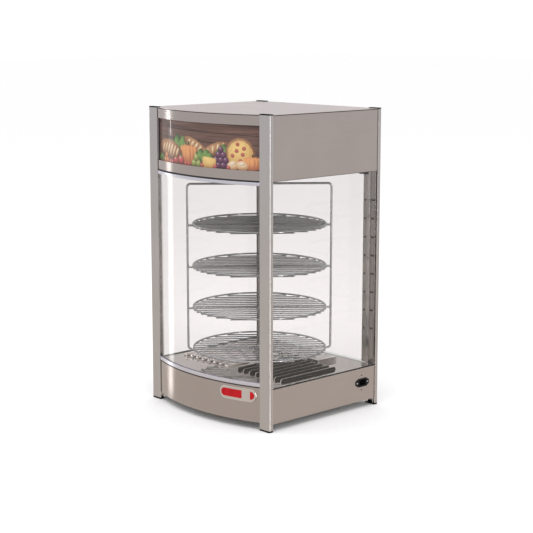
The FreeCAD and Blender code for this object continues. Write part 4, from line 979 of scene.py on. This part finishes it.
def studio_world():
    """White behind the object; what shines in it is dark low down and brightest overhead."""
    world = bpy.data.worlds.new("studio")
    bpy.context.scene.world = world
    world.use_nodes = True
    world.node_tree.nodes.clear()
    nodes = Nodes(world.node_tree)
    z = nodes.axes(nodes.add("ShaderNodeTexCoord").outputs["Generated"])[2]
    ray = nodes.add("ShaderNodeLightPath").outputs
    seen, mirrored = ray["Is Camera Ray"], ray["Is Glossy Ray"]
    below = nodes.rescale(z, -0.75, -0.38, 0.12, 0.68, True)
    reflected = nodes.math("ADD", below, nodes.rescale(z, 0.32, 0.8, 0, 0.9, True))
    lighting = nodes.mix(mirrored, nodes.rescale(z, -0.5, 0.6, 1.1, 1.6, True), reflected)
    strength = nodes.math("MAXIMUM", lighting, seen)
    low_tint, high_tint = colour(1.0, 0.925, 0.85), colour(1.0, 0.99, 1.0)
    tint = nodes.mix(nodes.rescale(z, -0.26, -0.06, 0, 1), low_tint, high_tint)
    tint = nodes.mix(seen, tint, colour(1, 1, 1))
    background = nodes.add("ShaderNodeBackground", {"Color": tint, "Strength": strength})
    nodes.add("ShaderNodeOutputWorld", {"Surface": background.outputs[0]})


def softbox(name, location, target, wide, high, power, lean=0):
    """A soft light that faces its target; lean turns it about that direction, in degrees."""
    light = bpy.data.lights.new(name, "AREA")
    light.shape = "RECTANGLE"
    light.size, light.size_y = wide, high
    light.energy = power
    lamp = bpy.data.objects.new(name, light)
    bpy.context.scene.collection.objects.link(lamp)
    lamp.location = location
    aim = (Vector(target) - Vector(location)).to_track_quat("-Z", "Y")
    lamp.rotation_euler = (aim @ Quaternion((0, 0, 1), math.radians(lean))).to_euler()


# Half the floor's width, and how far it is below the object's feet
FLOOR_HALF, FLOOR_BELOW = 30, 0.0002


def studio_floor():
    """A plain pale floor, which the object's metal and glass don't mirror."""
    mesh = bmesh.new()
    bmesh.ops.create_grid(mesh, x_segments=8, y_segments=8, size=FLOOR_HALF)
    data = bpy.data.meshes.new("studio_floor")
    mesh.to_mesh(data)
    mesh.free()
    floor = bpy.data.objects.new("studio_floor", data)
    floor.location.z = cad_low.z - FLOOR_BELOW
    bpy.context.scene.collection.objects.link(floor)
    material, nodes = new_material("pale_floor")
    fleck = nodes.noise(nodes.place(), 60, 3)
    colours = nodes.mix(nodes.rescale(fleck, 0.3, 0.7, 0, 1),
                        colour(0.62, 0.62, 0.62), colour(0.64, 0.64, 0.64))
    principled(nodes, Base_Color=colours, Roughness=0.9, Specular_IOR_Level=0.1)
    dress(floor, material)
    floor.visible_glossy = False


# The camera's lens and sensor in millimetres, its place in metres, and its angles in degrees
LENS, SENSOR = 93.05, 36.0
CAMERA_PLACE, CAMERA_DOWN, CAMERA_TURN = (2.68766, -2.49039, 1.02589), 10.102, 47.081


def photo_camera():
    """The photograph's own viewpoint, worked out from the case's straight edges."""
    data = bpy.data.cameras.new("camera")
    data.sensor_width = SENSOR
    data.lens = LENS
    data.clip_end = 200
    camera = bpy.data.objects.new("camera", data)
    camera.location = CAMERA_PLACE
    camera.rotation_euler = (math.radians(90 - CAMERA_DOWN), 0, math.radians(CAMERA_TURN))
    bpy.context.scene.collection.objects.link(camera)
    bpy.context.scene.camera = camera


bpy.context.scene.view_settings.view_transform = "Standard"
studio_world()
studio_floor()
# The left and right strips draw the bright upright lines in the curved panels and the post's corner
softbox("overhead", (0.2, -0.6, 3.2), (0, 0, 0), 3.2, 3.2, 60)
softbox("left_glow", (-3.2, -0.86, -0.16), (0, -0.22, -0.16), 0.32, 1.34, 2.2, -3)
softbox("left_strip", (-3.19, -0.84, 0.93), (0, -0.22, 0.93), 0.06, 0.9, 2.0, 6)
softbox("right_strip", (3.2, -0.38, 0.3), (0, -0.2, 0.3), 0.40, 3.4, 25)
photo_camera()
